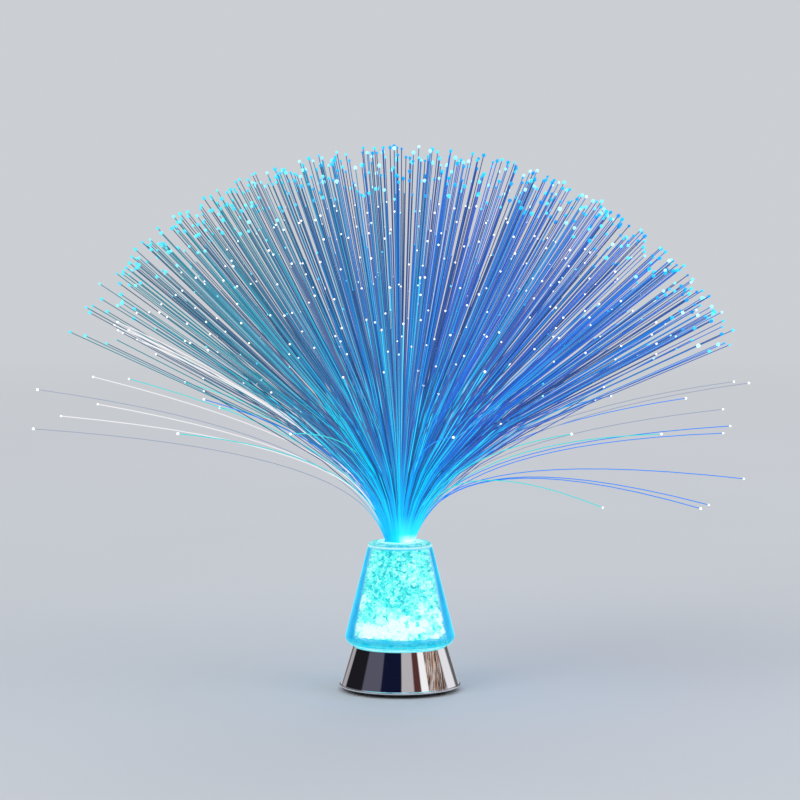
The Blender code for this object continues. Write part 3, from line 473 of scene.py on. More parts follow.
def lit_strand():
    """Light guides. All are bright cyan at the neck. Further out they are teal and slate
    on the left and royal blue on the right, some stay bright or dark all along, and those
    with a kind of their own are white, turquoise, blue, faint or bright."""
    f = Finish("lit_strand")
    x = f.axes()[0]
    tone = f.own("tone")
    along = f.own("along")
    bead = f.own("bead")
    kind = f.own("kind")
    side = f.spread(x, -plume_reach, plume_reach)
    vivid = f.ramp(
        side,
        (0.00, (0.00, 0.23, 0.24)),
        (0.30, (0.00, 0.22, 0.27)),
        (0.44, (0.00, 0.16, 0.52)),
        (0.60, (0.00, 0.11, 0.64)),
        (1.00, (0.00, 0.16, 0.74)),
    )
    slate = f.ramp(
        side,
        (0.00, (0.06, 0.15, 0.19)),
        (0.35, (0.075, 0.110, 0.220)),
        (0.60, (0.06, 0.08, 0.30)),
        (1.00, (0.01, 0.11, 0.44)),
    )
    far = f.mix(f.spread(tone, 0.30, 0.60), vivid, slate)
    near = f.mix(f.spread(tone, 0.15, 0.85), (0.00, 0.38, 0.92), (0.00, 0.82, 1.00))
    guide = f.mix(f.spread(along, 0.22, 0.66), vivid, far)
    guide = f.mix(f.spread(along, 0.09, 0.56, 1.0, 0.0), guide, near)
    dark = (tone < 0.20) * f.spread(along, 0.12, 0.36, 0.0, 0.85)
    guide = f.mix(dark, guide, (0.008, 0.030, 0.100))
    bright = (tone > 0.78) * f.spread(along, 0.45, 1.0, 1.0, 0.25)
    glints = f.ramp(
        side,
        (0.00, (0.01, 0.42, 0.43)),
        (0.42, (0.00, 0.64, 0.86)),
        (0.60, (0.00, 0.54, 1.00)),
        (1.00, (0.00, 0.38, 1.00)),
    )
    guide = f.mix(bright, guide, glints)
    own_light = f.ramp(
        kind / BRIGHT,
        (0.00, (0.00, 0.30, 0.80)),
        (WHITE / BRIGHT, (0.84, 0.80, 0.80)),
        (TURQUOISE / BRIGHT, (0.02, 0.64, 0.62)),
        (BLUE / BRIGHT, (0.00, 0.20, 0.82)),
        (FAINT / BRIGHT, (0.30, 0.33, 0.41)),
        (1.00, (0.04, 0.74, 1.00)),
    )
    guide = f.mix((kind > 0.5) * f.spread(along, 0.10, 0.40), guide, own_light)
    root_light = f.ramp(
        f.spread(x, -0.008, 0.008),
        (0.00, (0.00, 0.40, 0.95)),
        (0.35, (0.00, 0.68, 1.00)),
        (0.60, (0.04, 0.86, 1.00)),
        (1.00, (0.02, 0.76, 1.00)),
    )
    guide = f.mix(f.spread(along, 0.04, 0.22, 1.0, 0.0), guide, root_light)
    # A painted hot spot: near-white glow at the roots, just right of the middle
    painted_hot_spot = f.spread(x, -0.001, 0.0035) * f.spread(along, 0.008, 0.065, 0.85, 0.0)
    guide = f.mix(painted_hot_spot, guide, (0.86, 1.00, 1.00))
    dot = f.ramp(
        tone,
        (0.00, (0.00, 0.20, 0.56)),
        (0.35, (0.00, 0.42, 0.78)),
        (0.70, (0.06, 0.62, 0.88)),
        (1.00, (0.50, 0.90, 1.00)),
    )
    dot = f.mix(f.spread(side, 0.25, 0.48, 0.75, 0.0), dot, (0.08, 0.56, 0.58))
    dot = f.mix(bead > WHITE_BEAD - 0.5, dot, (1.0, 1.0, 1.0))
    # The base colour carries a quarter of the strand's glow colour and all of the bead's:
    # painted light
    return f.show(f.surface(
        Base_Color=f.mix(bead, f.mix(0.75, guide, (0.01, 0.03, 0.07)), dot),
        Roughness=0.22,
        Emission_Color=f.mix(bead, guide, dot),
        Emission_Strength=0.95,
    ))


# Shapes

def turned(outline, steps, closed=True):
    """Turn an outline round the lamp's axis. A point is (radius, height) or has a third
    number, how far its corner is rounded."""
    shape = bmesh.new()
    points = [shape.verts.new((p[0], 0, p[1])) for p in outline]
    following = points[1:] + points[:1] if closed else points[1:]
    for pair in zip(points, following):
        shape.edges.new(pair)
    easing = {}
    for point, given in zip(points, outline):
        if len(given) > 2:
            easing.setdefault(given[2], []).append(point)
    for offset, corners in easing.items():
        bmesh.ops.bevel(
            shape, geom=corners, offset=offset, offset_type="OFFSET", segments=4,
            profile=0.5, affect="VERTICES", clamp_overlap=True, material=-1,
        )
    bmesh.ops.spin(
        shape, geom=list(shape.verts) + list(shape.edges), cent=(0, 0, 0), axis=UP,
        angle=math.tau, steps=steps, use_merge=True,
    )
    bmesh.ops.remove_doubles(shape, verts=shape.verts, dist=0.000002)
    bmesh.ops.recalc_face_normals(shape, faces=shape.faces)
    return shape


def placed(name, shape, material):
    """Put a shape in the scene, in one finish."""
    mesh = bpy.data.meshes.new(name)
    shape.to_mesh(mesh)
    shape.free()
    mesh.materials.append(material)
    made = bpy.data.objects.new(name, mesh)
    bpy.context.scene.collection.objects.link(made)
    return made


def piece(name, shape, body, material, node, smooth=True):
    """Make a shape a piece of the lamp: it rides on a body and stands for a CAD node."""
    made = placed(name, shape, material)
    if smooth:
        made.data.shade_smooth()
        made.data.set_sharp_from_angle(angle=SHARP_ANGLE)
    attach(made, body)
    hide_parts(node)


def reach(node):
    """A round node's radius, and the heights of its foot and top."""
    low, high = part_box(node)
    return high.x, low.z, high.z


def dress(material, *nodes):
    """Give CAD nodes that keep their shape a finish."""
    for node in nodes:
        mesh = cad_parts[node].data
        mesh.materials.clear()
        mesh.materials.append(material)


# The lamp's sizes, from its CAD nodes and its walls
shell_r, shell_foot_z, shell_top_z = reach("base_shell")
cone_rim_r, cone_foot_z, cone_top_z = reach("crystal_cone")
floor_r, floor_ring_z, floor_top_z = reach("cone_floor")
tube_r, tube_foot_z, tube_top_z = reach("guide_tube")
collar_r, collar_foot_z, collar_top_z = reach("collar_ring")
chips_foot_z, chips_top_z = reach("crystal_chips")[1:]
ferrule_r, ferrule_foot_z, ferrule_top_z = reach("plume_ferrule")
tail_r, tail_foot_z, tail_top_z = reach("bundle_tail")
plume_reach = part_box("strands_outer")[1].x
root_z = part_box("strands_inner")[0].z + BACKING
bundle_r = ferrule_r - SLEEVE_WALL
socket_r = tube_r - TUBE_WALL
cavity_foot_r = floor_r + GAP
cavity_top_r = 0.0179
cavity_top_z = chips_top_z + GAP
shoulder_r = 0.0195
collar_seat_z = 0.0910
collar_sleeve_r = 0.0122
deck_hole_r = 0.0170


def cavity_radius(height):
    """Radius of the cone's hollow at a height."""
    share = (height - tube_foot_z) / (cavity_top_z - tube_foot_z)
    return cavity_foot_r + share * (cavity_top_r - cavity_foot_r)


def make_shell(chrome):
    """The chromed shell: a thin lip at its foot, a flared wall and a flat deck."""
    wall = 0.0015
    top_r = 0.0292
    under_z = shell_top_z - 0.0018
    foot_r = shell_r - 0.0003
    lip_z = shell_foot_z + 0.0012
    outline = (
        (foot_r - wall, shell_foot_z),
        (foot_r, shell_foot_z, 0.0003),
        (shell_r, shell_foot_z + 0.0006, 0.0003),
        (shell_r - 0.0001, lip_z, 0.0002),
        (foot_r - 0.0005, lip_z + 0.0003, 0.0001),
        (top_r, shell_top_z, 0.0012),
        (deck_hole_r, shell_top_z, 0.0002),
        (deck_hole_r, under_z),
        (top_r - wall + 0.0006, under_z),
    )
    shape = turned(outline, FINE_STEPS)
    piece("base_shell_chromed", shape, "base", chrome, "base_shell")


def make_cone(acrylic):
    """The clear cone: a thick wall, a rounded rim and shoulder, and a seat for the collar."""
    seat_r = collar_r + GAP
    mouth_r = collar_sleeve_r + GAP
    outline = (
        (cavity_foot_r, cone_foot_z, 0.0003),
        (cone_rim_r - 0.0026, cone_foot_z, 0.0012),
        (cone_rim_r, cone_foot_z + 0.0036, 0.0016),
        (shoulder_r, cone_top_z - 0.0012, 0.0008),
        (shoulder_r - 0.0016, cone_top_z, 0.0008),
        (seat_r, cone_top_z, 0.0002),
        (seat_r, collar_seat_z),
        (mouth_r, collar_seat_z),
        (mouth_r, cavity_top_z),
        (cavity_top_r, cavity_top_z, 0.0010),
        (cavity_foot_r, tube_foot_z),
    )
    shape = turned(outline, FINE_STEPS)
    piece("cone_clear", shape, "base", acrylic, "crystal_cone")


def make_collar(acrylic):
    """The collar ring at the cone's mouth, round the neck of the plume."""
    flange_z = collar_seat_z + GAP
    groove_r = socket_r + 0.0019
    groove_z = collar_top_z - COLLAR_GROOVE
    outline = (
        (socket_r, collar_foot_z),
        (collar_sleeve_r, collar_foot_z, 0.0002),
        (collar_sleeve_r, flange_z),
        (collar_r, flange_z, 0.0002),
        (collar_r, collar_top_z, 0.0006),
        (groove_r + 0.0004, collar_top_z, 0.0001),
        (groove_r + 0.0003, groove_z),
        (groove_r - 0.0003, groove_z),
        (groove_r - 0.0004, collar_top_z, 0.0001),
        (socket_r, collar_top_z, 0.0004),
    )
    shape = turned(outline, RING_STEPS)
    piece("collar_ring_clear", shape, "base", acrylic, "collar_ring")


def make_guide_tube(acrylic):
    """The clear tube up the middle of the cone, which is the plume's socket."""
    outline = (
        (socket_r, tube_foot_z),
        (tube_r, tube_foot_z, 0.0002),
        (tube_r, tube_top_z, 0.0002),
        (socket_r, tube_top_z),
    )
    shape = turned(outline, TUBE_STEPS)
    piece("guide_tube_clear", shape, "base", acrylic, "guide_tube")


def make_cone_floor(acrylic):
    """The clear disc under the chips, with the ring that snaps into the deck."""
    wall = 0.0016
    ring_r = deck_hole_r - GAP
    under_z = shell_top_z + GAP
    outline = (
        (0, under_z + wall),
        (ring_r - wall, under_z + wall),
        (ring_r - wall, floor_ring_z),
        (ring_r, floor_ring_z, 0.0002),
        (ring_r + 0.0006, floor_ring_z + 0.0011, 0.0003),
        (ring_r, floor_ring_z + 0.0018),
        (ring_r, under_z),
        (floor_r, under_z, 0.0003),
        (floor_r, floor_top_z, 0.0003),
        (0, floor_top_z),
    )
    shape = turned(outline, RING_STEPS, closed=False)
    piece("cone_floor_clear", shape, "base", acrylic, "cone_floor")


# Chips: how they are packed, their usual radii at the cone's foot and above, and how far
# apart they lie and how much their sizes scatter, both as shares of the usual radius
CHIP_ROWS = 20
CHIP_LAYERS = 2
COARSE_CHIP = 0.0029
FINE_CHIP = 0.0019
CHIP_PITCH = 1.55
CHIP_SIZES = (0.75, 1.25)


def chip_places(chance):
    """Places and sizes of chips, packed against the wall of the cone's hollow. They are
    coarse at its foot and finer above."""
    foot = chips_foot_z + 0.0016
    top = chips_top_z - 0.0010
    for row in range(CHIP_ROWS):
        share = row / (CHIP_ROWS - 1)
        level = foot + (top - foot) * share ** 1.08
        usual = COARSE_CHIP + (FINE_CHIP - COARSE_CHIP) * min(1, 1.5 * share)
        for layer in range(CHIP_LAYERS):
            radius = cavity_radius(level) - usual * (1.10 + 1.20 * layer)
            count = int(math.tau * radius / (CHIP_PITCH * usual))
            for i in range(count):
                size = usual * chance.uniform(*CHIP_SIZES)
                turn = math.tau * (i + chance.uniform(-0.5, 0.5)) / count
                out = radius + usual * chance.uniform(-0.45, 0.15)
                z = level + 1.1 * usual * chance.uniform(-1, 1)
                z = min(max(z, foot), top)
                yield Vector((out * math.cos(turn), out * math.sin(turn), z)), size


class Heap:
    """Many small shapes gathered in one, with numbers of their own on their corners and
    on their faces."""

    def __init__(self, corner_numbers, face_numbers=()):
        self.corner_numbers = corner_numbers
        self.face_numbers = face_numbers
        self.whole = self.empty()
        self.carrier = bpy.data.meshes.new("carrier")

    def empty(self):
        """A new shape that can carry the heap's numbers."""
        shape = bmesh.new()
        for name in self.corner_numbers:
            shape.verts.layers.float.new(name)
        for name in self.face_numbers:
            shape.faces.layers.float.new(name)
        return shape

    def add(self, shape):
        """Lay a shape on the heap."""
        shape.to_mesh(self.carrier)
        shape.free()
        self.whole.from_mesh(self.carrier)


def make_chips(crystal):
    """Broken crystal chips: low faceted lumps, each stretched and turned its own way."""
    chance = random.Random(12)
    heap = Heap(["tone"], ["facet"])
    for centre, size in chip_places(chance):
        shape = heap.empty()
        tone = shape.verts.layers.float["tone"]
        facet = shape.faces.layers.float["facet"]
        bmesh.ops.create_icosphere(shape, subdivisions=1, radius=size)
        shade = chance.random()
        for vertex in shape.verts:
            vertex[tone] = shade
            vertex.co *= chance.uniform(0.72, 1.08)
        axis = Vector([chance.uniform(-1, 1) for i in range(3)]).normalized()
        turn = Matrix.Rotation(chance.uniform(0, math.tau), 4, axis)
        stretch = Matrix.Diagonal((1.12, 0.92, chance.uniform(0.7, 1.0), 1))
        move = Matrix.Translation(centre) @ turn @ stretch
        bmesh.ops.transform(shape, matrix=move, verts=shape.verts)
        for vertex in shape.verts:
            limit = cavity_radius(vertex.co.z) - 0.0004
            if vertex.co.xy.length > limit:
                vertex.co.xy *= limit / vertex.co.xy.length
            vertex.co.z = min(max(vertex.co.z, chips_foot_z), chips_top_z)
        for face in shape.faces:
            face[facet] = chance.random()
        heap.add(shape)
    piece(
        "chips_packed", heap.whole, "base", crystal, "crystal_chips",
        smooth=False,
    )


def make_chip_core(crystal):
    """The inner mass of chips, behind those against the wall. Its glow is kept dark teal,
    painted shade in the gaps between the chips in front. A spin makes faces in any order, so
    they are sorted to give each the same shade every time."""
    chance = random.Random(5)
    inset = 0.0052
    outline = (
        (tube_r + GAP, chips_foot_z),
        (cavity_radius(chips_foot_z) - inset, chips_foot_z),
        (cavity_radius(chips_top_z) - inset, chips_top_z),
        (collar_sleeve_r + GAP, chips_top_z),
        (tube_r + 0.0015, tube_top_z),
        (tube_r + GAP, tube_top_z - 0.0006),
    )
    shape = turned(outline, CORE_STEPS)
    upright = [e for e in shape.edges if e.calc_length() > 0.03]
    bmesh.ops.subdivide_edges(shape, edges=upright, cuts=24)
    bmesh.ops.triangulate(shape, faces=shape.faces)
    tone = shape.verts.layers.float.new("tone")
    facet = shape.faces.layers.float.new("facet")
    # Low tones and facets keep the core's glow dark teal: painted shade in the gaps between
    # the chips in front
    for vertex in shape.verts:
        if vertex.co.xy.length > tube_r + 0.0022:
            vertex.co.xy *= 1 - 0.05 * chance.random()
        vertex[tone] = 0.15 * chance.random()
    shape.verts.index_update()
    for face in sorted(shape.faces, key=lambda face: sorted(v.index for v in face.verts)):
        face[facet] = 0.35 * chance.random()
    piece(
        "chips_core", shape, "base", crystal, "crystal_chips", smooth=False
    )


def make_cells(wrap):
    """Three cells, each with a crimped end, a plain band and a raised cap. The middle one
    lies the other way round. Their number is 1 on the band, 2 on bare steel and 0 on the
    sleeve."""
    cap = 0.0011
    band_length = 0.0100
    for number, way in enumerate((1, -1, 1), 1):
        node = f"battery_{number}"
        low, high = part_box(node)
        middle = (low + high) / 2
        radius = (high.x - low.x) / 2
        length = high.y - low.y
        body = length - cap
        outline = (
            (0, 0.0002),
            (radius - 0.0017, 0.0002),
            (radius - 0.0015, 0, 0.0001),
            (radius - 0.0006, 0, 0.0002),
            (radius, 0.0006, 0.0002),
            (radius, body - band_length),
            (radius, body - 0.0006, 0.0002),
            (radius - 0.0006, body, 0.0002),
            (radius - 0.0016, body, 0.0001),
            (radius - 0.0018, body - 0.0003),
            (0.0025, body - 0.0003),
            (0.0021, body, 0.0002),
            (0.0018, length, 0.0004),
            (0, length),
        )
        shape = turned(outline, SMALL_STEPS, closed=False)
        band = shape.faces.layers.float.new("band")
        for face in shape.faces:
            centre = face.calc_center_median()
            bare = centre.xy.length < radius - 0.0008
            face[band] = 2 if bare else 1 if centre.z > body - band_length else 0
        lay = Matrix.Rotation(math.radians(-90 * way), 4, "X")
        start = Vector((middle.x, middle.y - way * length / 2, middle.z))
        move = Matrix.Translation(start) @ lay
        bmesh.ops.transform(shape, matrix=move, verts=shape.verts)
        piece(node + "_wrapped", shape, "base", wrap, node)


# The plume

ROOT_COUNT = 1150
ROOTS_R = bundle_r - 0.0005
STRAYS_R = bundle_r - 0.0004
STRAND_R = 0.00029
STRAND_SIDES = 5
STRAND_NUMBERS = ("along", "tone", "bead", "kind")

# The dome: how far its strands reach and lean, how much they scatter, and which are short
DOME_REACH = 0.2455
DOME_LEAN = math.radians(58)
REACH_SCATTER = 0.042
LEAN_SCATTER = math.radians(1.6)
TURN_SCATTER = math.radians(2.5)
SHORT_SHARE = 0.10
SHORT_REACHES = (0.62, 0.95)

# Past this lean to the left the dome is sparse: this share of its strands isn't drawn
SPARSE_LEAN = math.radians(45)
SPARSE_SHARE = 0.68

# The shares of the bundle's radius that the inner and the middle ring of strands fill
INNER_SHARE = 0.5
MIDDLE_SHARE = 0.74

# A strand's bend: its foot and its bend as shares of its lean and of its span
FOOT_SPAN = 0.11
DOME_FOOT = 0.30
DOME_BEND = 0.30
DOME_BEND_SPAN = 0.27
STRAY_FOOT_LEAN = math.radians(20)
DOME_STATIONS = (0.09, 0.19, 0.31, 0.46, 0.68)
STRAY_STATIONS = [i / 22 for i in range(1, 22)]

# Beads: their radii past this share of the dome's reach, inside it and on strands with a
# light of their own. Of those inside the dome, one share is white in front of this depth
# and another behind it. A bead's outline is a list of distances back from its tip and
# widths, both in bead radii.
RIM_SHARE = 0.88
RIM_BEADS = (0.0008, 0.0014)
INNER_BEADS = (0.00045, 0.0007)
STRAY_BEADS = (0.0006, 0.0009)
FRONT_DEPTH = 0.03
WHITE_IN_FRONT = 0.75
WHITE_BEHIND = 0.35
BEAD_OUTLINE = ((1.80, 0.60), (1.05, 1.00), (0.35, 0.76), (0.0, 0.2))

# Strands that leave the dome: where each tip is, in metres from the middle of the
# backing (right, back, up), and the point that the strand bends over at: its lean from
# upright, in degrees, and its distance from the root as a share of the strand's span.
# The last is the kind of light it carries.
STRAYS = (
    (-0.2218, -0.0550, 0.0752, 28, 0.28, FAINT),
    (-0.2217, -0.0300, 0.0968, 24, 0.32, FAINT),
    (-0.2058, -0.0450, 0.0820, 10, 0.28, WHITE),
    (-0.1890, 0.0200, 0.0832, 10, 0.28, WHITE),
    (-0.1849, -0.0600, 0.1072, 8, 0.28, WHITE),
    (-0.1725, 0.0600, 0.0957, 13, 0.31, TURQUOISE),
    (-0.1420, 0.1450, 0.0860, 18, 0.32, TURQUOISE),
    (-0.1330, -0.0820, 0.0751, 17, 0.36, TURQUOISE),
    (-0.1210, 0.1800, 0.0660, 18, 0.32, TURQUOISE),
    (-0.1156, -0.1100, 0.0983, 16, 0.35, BLUE),
    (-0.0640, -0.1300, 0.0797, 13, 0.48, TURQUOISE),
    (-0.0320, 0.2110, 0.0700, 18, 0.32, BLUE),
    (0.0300, -0.2100, 0.0860, 18, 0.32, BLUE),
    (0.0640, 0.2080, 0.0760, 18, 0.32, BLUE),
    (0.1010, -0.1180, 0.0786, 22, 0.36, TURQUOISE),
    (0.1210, -0.0900, 0.0315, 14, 0.46, TURQUOISE),
    (0.1400, 0.1560, 0.0760, 18, 0.32, BLUE),
    (0.1569, -0.0750, 0.0741, 24, 0.39, TURQUOISE),
    (0.1811, -0.0700, 0.0284, 22, 0.38, BLUE),
    (0.1870, -0.0560, 0.0290, 20, 0.37, BLUE),
    (0.1850, 0.0960, 0.0800, 18, 0.32, BLUE),
    (0.1968, -0.0380, 0.0855, 14, 0.31, FAINT),
    (0.1991, -0.0150, 0.0685, 24, 0.33, BLUE),
    (0.2090, 0.0450, 0.0670, 18, 0.29, BLUE),
    (0.2128, 0.0640, 0.0935, 20, 0.34, FAINT),
    (0.2159, 0.0250, 0.0357, 14, 0.29, BLUE),
    (0.2191, 0.0300, 0.0956, 22, 0.34, FAINT),
)

# A close group of white strands on the left, given in the same way
WHITE_GROUP = (
    (-0.1732, -0.0440, 0.1372, 15, 0.33),
    (-0.1722, -0.0320, 0.1384, 14, 0.33),
    (-0.1700, -0.0560, 0.1350, 16, 0.33),
    (-0.1660, -0.0260, 0.1330, 16, 0.33),
    (-0.1580, -0.0640, 0.1300, 15, 0.33),
)

# Short bright strands at the front of the dome: where each tip is, in the same way
GLINTS = (
    (-0.087, -0.050, 0.102),
    (-0.061, -0.050, 0.085),
    (-0.034, -0.080, 0.109),
    (-0.020, -0.090, 0.144),
    (-0.015, -0.085, 0.169),
    (-0.011, -0.090, 0.138),
    (-0.006, -0.085, 0.163),
    (0.002, -0.095, 0.142),
    (0.007, -0.090, 0.128),
    (0.012, -0.090, 0.169),
    (0.014, -0.080, 0.104),
    (0.023, -0.080, 0.099),
    (0.051, -0.075, 0.112),
    (0.059, -0.080, 0.129),
    (0.061, -0.060, 0.079),
    (0.066, -0.070, 0.116),
)
GLINT_TONE = 0.7


def strand_line(root, tip, foot_lean, bend_lean, bend_span):
    """A strand's curve and heading: it rises at foot_lean, then bends over to its tip."""
    run = tip - root
    away = Vector((run.x, run.y, 0)).normalized()

    def toward(lean, span):
        return root + span * run.length * (math.sin(lean) * away + math.cos(lean) * UP)

    first = toward(foot_lean, FOOT_SPAN)
    second = toward(bend_lean, bend_span)

    def place(t):
        s = 1 - t
        return s ** 3 * root + 3 * s * s * t * first + 3 * s * t * t * second + t ** 3 * tip

    def heading(t):
        s = 1 - t
        course = s * s * (first - root) + 2 * s * t * (second - first)
        return (course + t * t * (tip - second)).normalized()

    return place, heading


def ring_frame(centre, heading, radius):
    """The placing of a unit ring across a strand."""
    turn = UP.rotation_difference(heading).to_matrix().to_4x4()
    return Matrix.Translation(centre) @ turn @ Matrix.Scale(radius, 4)


def draw_strand(heap, line, stations, bead_r, tone, glow, kind=0):
    """Draw a strand out from a ring at its root, and close it with a bead at its tip."""
    place, heading = line
    shape = heap.empty()
    rings = [(place(t), heading(t), STRAND_R, t, 0) for t in (0, *stations)]
    end, way = place(1), heading(1)
    rings.append((end - 2 * bead_r * way, way, STRAND_R, 1, 0))
    for back, width in BEAD_OUTLINE:
        rings.append((end - back * bead_r * way, way, width * bead_r, 1, glow))
    layers = [shape.verts.layers.float[name] for name in STRAND_NUMBERS]
    before = ring_frame(*rings[0][:3])
    made = bmesh.ops.create_circle(
        shape, cap_ends=True, radius=1, segments=STRAND_SIDES, matrix=before
    )
    ring = made["verts"]
    edges = list(shape.edges)
    for number, (centre, course, width, along, bead) in enumerate(rings):
        if number:
            grown = bmesh.ops.extrude_edge_only(shape, edges=edges)["geom"]
            ring = [g for g in grown if isinstance(g, bmesh.types.BMVert)]
            edges = [
                g for g in grown
                if isinstance(g, bmesh.types.BMEdge) and len(g.link_faces) == 1
            ]
            after = ring_frame(centre, course, width)
            move = after @ before.inverted()
            bmesh.ops.transform(shape, matrix=move, verts=ring)
            before = after
        for vertex in ring:
            for layer, value in zip(layers, (along, tone, bead, kind)):
                vertex[layer] = value
    bmesh.ops.contextual_create(shape, geom=edges)
    bmesh.ops.recalc_face_normals(shape, faces=shape.faces)
    heap.add(shape)


def dome_tip(root, chance):
    """The tip of a strand of the dome: leaning further the further out its root is."""
    share = root.xy.length / ROOTS_R
    lean = math.acos(1 - (1 - math.cos(DOME_LEAN)) * share ** 2)
    lean += LEAN_SCATTER * chance.uniform(-1, 1)
    turn = math.atan2(root.y, root.x) + TURN_SCATTER * chance.uniform(-1, 1)
    span = DOME_REACH * (1 - REACH_SCATTER * chance.random() ** 2)
    if chance.random() < SHORT_SHARE:
        span *= chance.uniform(*SHORT_REACHES)
    out = Vector((math.cos(turn), math.sin(turn), 0))
    return root_z * UP + span * (math.sin(lean) * out + math.cos(lean) * UP)


def roots():
    """Roots spread evenly over the bundle's end, as seeds are in a sunflower."""
    golden = math.pi * (3 - math.sqrt(5))
    for i in range(ROOT_COUNT):
        radius = ROOTS_R * math.sqrt((i + 0.5) / ROOT_COUNT)
        yield Vector((radius * math.cos(i * golden), radius * math.sin(i * golden), root_z))


def stray_line(right, back, up, lean, bend_span):
    """The curve of a strand that is given by its tip and its bend."""
    tip = Vector((right, back, root_z + up))
    foot = STRAYS_R * tip.xy.normalized()
    root = Vector((foot.x, foot.y, root_z))
    return strand_line(root, tip, STRAY_FOOT_LEAN, math.radians(lean), bend_span)


def dome_line(root, tip):
    """The curve of a strand of the dome."""
    lean = (tip - root).angle(UP)
    return strand_line(root, tip, DOME_FOOT * lean, DOME_BEND * lean, DOME_BEND_SPAN)


def glint_line(right, back, up):
    """The curve of a short strand of the dome that is given by its tip."""
    tip = Vector((right, back, up))
    share = (1 - math.cos(tip.angle(UP))) / (1 - math.cos(DOME_LEAN))
    foot = ROOTS_R * math.sqrt(min(1, share)) * tip.xy.normalized()
    return dome_line(Vector((foot.x, foot.y, root_z)), tip + root_z * UP)


def draw_dome(heap, members, chance):
    """Draw the strands of the dome that grow from some of the roots."""
    for root in members:
        tip = dome_tip(root, chance)
        leftward = math.atan2(-tip.x, tip.z - root_z)
        if leftward > SPARSE_LEAN and chance.random() < SPARSE_SHARE:
            continue
        at_rim = math.hypot(tip.x, tip.z - root_z) > RIM_SHARE * DOME_REACH
        usual = WHITE_IN_FRONT if tip.y < FRONT_DEPTH else WHITE_BEHIND
        white = not at_rim and chance.random() < usual
        bead_r = chance.uniform(*(RIM_BEADS if at_rim else INNER_BEADS))
        glow = WHITE_BEAD if white else COLOURED_BEAD
        line = dome_line(root, tip)
        draw_strand(heap, line, DOME_STATIONS, bead_r, chance.random(), glow)


def draw_strays(heap, chance):
    """Draw the strands that are given by their tips."""
    whites = [(*member, WHITE) for member in WHITE_GROUP]
    for *stray, kind in (*STRAYS, *whites):
        line = stray_line(*stray)
        bead_r = chance.uniform(*STRAY_BEADS)
        draw_strand(heap, line, STRAY_STATIONS, bead_r, chance.random(), WHITE_BEAD, kind)
    for glint in GLINTS:
        line = glint_line(*glint)
        bead_r = chance.uniform(*STRAY_BEADS)
        draw_strand(heap, line, DOME_STATIONS, bead_r, GLINT_TONE, WHITE_BEAD, BRIGHT)


def make_strands(glow):
    """The plume's strands, in three rings from the middle outwards."""
    chance = random.Random(31)
    rings = {"inner": [], "middle": [], "outer": []}
    for root in roots():
        share = root.xy.length / bundle_r
        inside = "inner" if share < INNER_SHARE else "middle"
        rings[inside if share < MIDDLE_SHARE else "outer"].append(root)
    for ring, members in rings.items():
        heap = Heap(STRAND_NUMBERS)
        draw_dome(heap, members, chance)
        if ring == "outer":
            draw_strays(heap, chance)
        node = "strands_" + ring
        piece(node + "_lit", heap.whole, "plume", glow, node)


def make_sleeve(frosted):
    """The sleeve round the lower end of the bundle, which slips into the guide tube."""
    outline = (
        (bundle_r - GAP, ferrule_foot_z),
        (ferrule_r, ferrule_foot_z, 0.0004),
        (ferrule_r, ferrule_top_z, 0.0003),
        (bundle_r - GAP, ferrule_top_z),
    )
    shape = turned(outline, TUBE_STEPS)
    piece("plume_sleeve", shape, "plume", frosted, "plume_ferrule")


def make_bundle(fused):
    """The fused lower end of the strands, inside the sleeve."""
    outline = (
        (0, tail_foot_z),
        (tail_r, tail_foot_z, 0.0003),
        (tail_r, tail_top_z),
        (0, tail_top_z),
    )
    shape = turned(outline, TUBE_STEPS, closed=False)
    piece("bundle_fused", shape, "plume", fused, "bundle_tail")


def make_pads(rubber):
    """Four round foot pads."""
    for number in range(1, 5):
        node = f"foot_pad_{number}"
        low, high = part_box(node)
        middle = (low + high) / 2
        radius = (high.x - low.x) / 2
        outline = ((0, low.z), (radius, low.z, 0.0004), (radius, high.z), (0, high.z))
        shape = turned(outline, SMALL_STEPS, closed=False)
        bmesh.ops.translate(shape, verts=shape.verts, vec=(middle.x, middle.y, 0))
        piece(node + "_moulded", shape, "base", rubber, node)


# Stage

# The camera: its image and focal length in pixels, its sensor in millimetres, its place
# and its pitch
IMAGE_SIDE = 800
FOCAL_PIXELS = 3577
SENSOR_WIDTH = 36
CAMERA_DISTANCE = 2.2
CAMERA_HEIGHT = 0.3839
CAMERA_PITCH = math.radians(5.28)

# The floor fades between two distances from the lamp
FLOOR_FADE = (0.7, 2.6)
FLOOR_R = 3.2
PALE = (0.60, 0.62, 0.65)

# The flats: their radius and heights, the degrees round the lamp that each tint runs over
# or is reached at, and those that are flecked
FLATS_R = 1.5
FLATS_HEIGHTS = (0.02, 1.7)
STRIPES = (
    (-180, -146, (0.16, 0.16, 0.17)),
    (-143, -131, (0.42, 0.41, 0.43)),
    (-128, -84, (0.012, 0.012, 0.016)),
    (-80, -42, (0.10, 0.10, 0.14)),
    (-39, 2, (0.006, 0.008, 0.030)),
    (4, 28, (0.50, 0.48, 0.49)),
    (31, 44, (0.10, 0.035, 0.035)),
    (46, 60, (1.0, 1.0, 1.0)),
    (62, (0.30, 0.22, 0.18)),
    (82, (0.34, 0.26, 0.22)),
    (86, (0.05, 0.045, 0.05)),
    (104, (0.07, 0.06, 0.06)),
    (108, 132, (0.85, 0.85, 0.88)),
    (138, (0.12, 0.12, 0.13)),
    (180, (0.16, 0.16, 0.17)),
)
FLECKED = (62, 104)


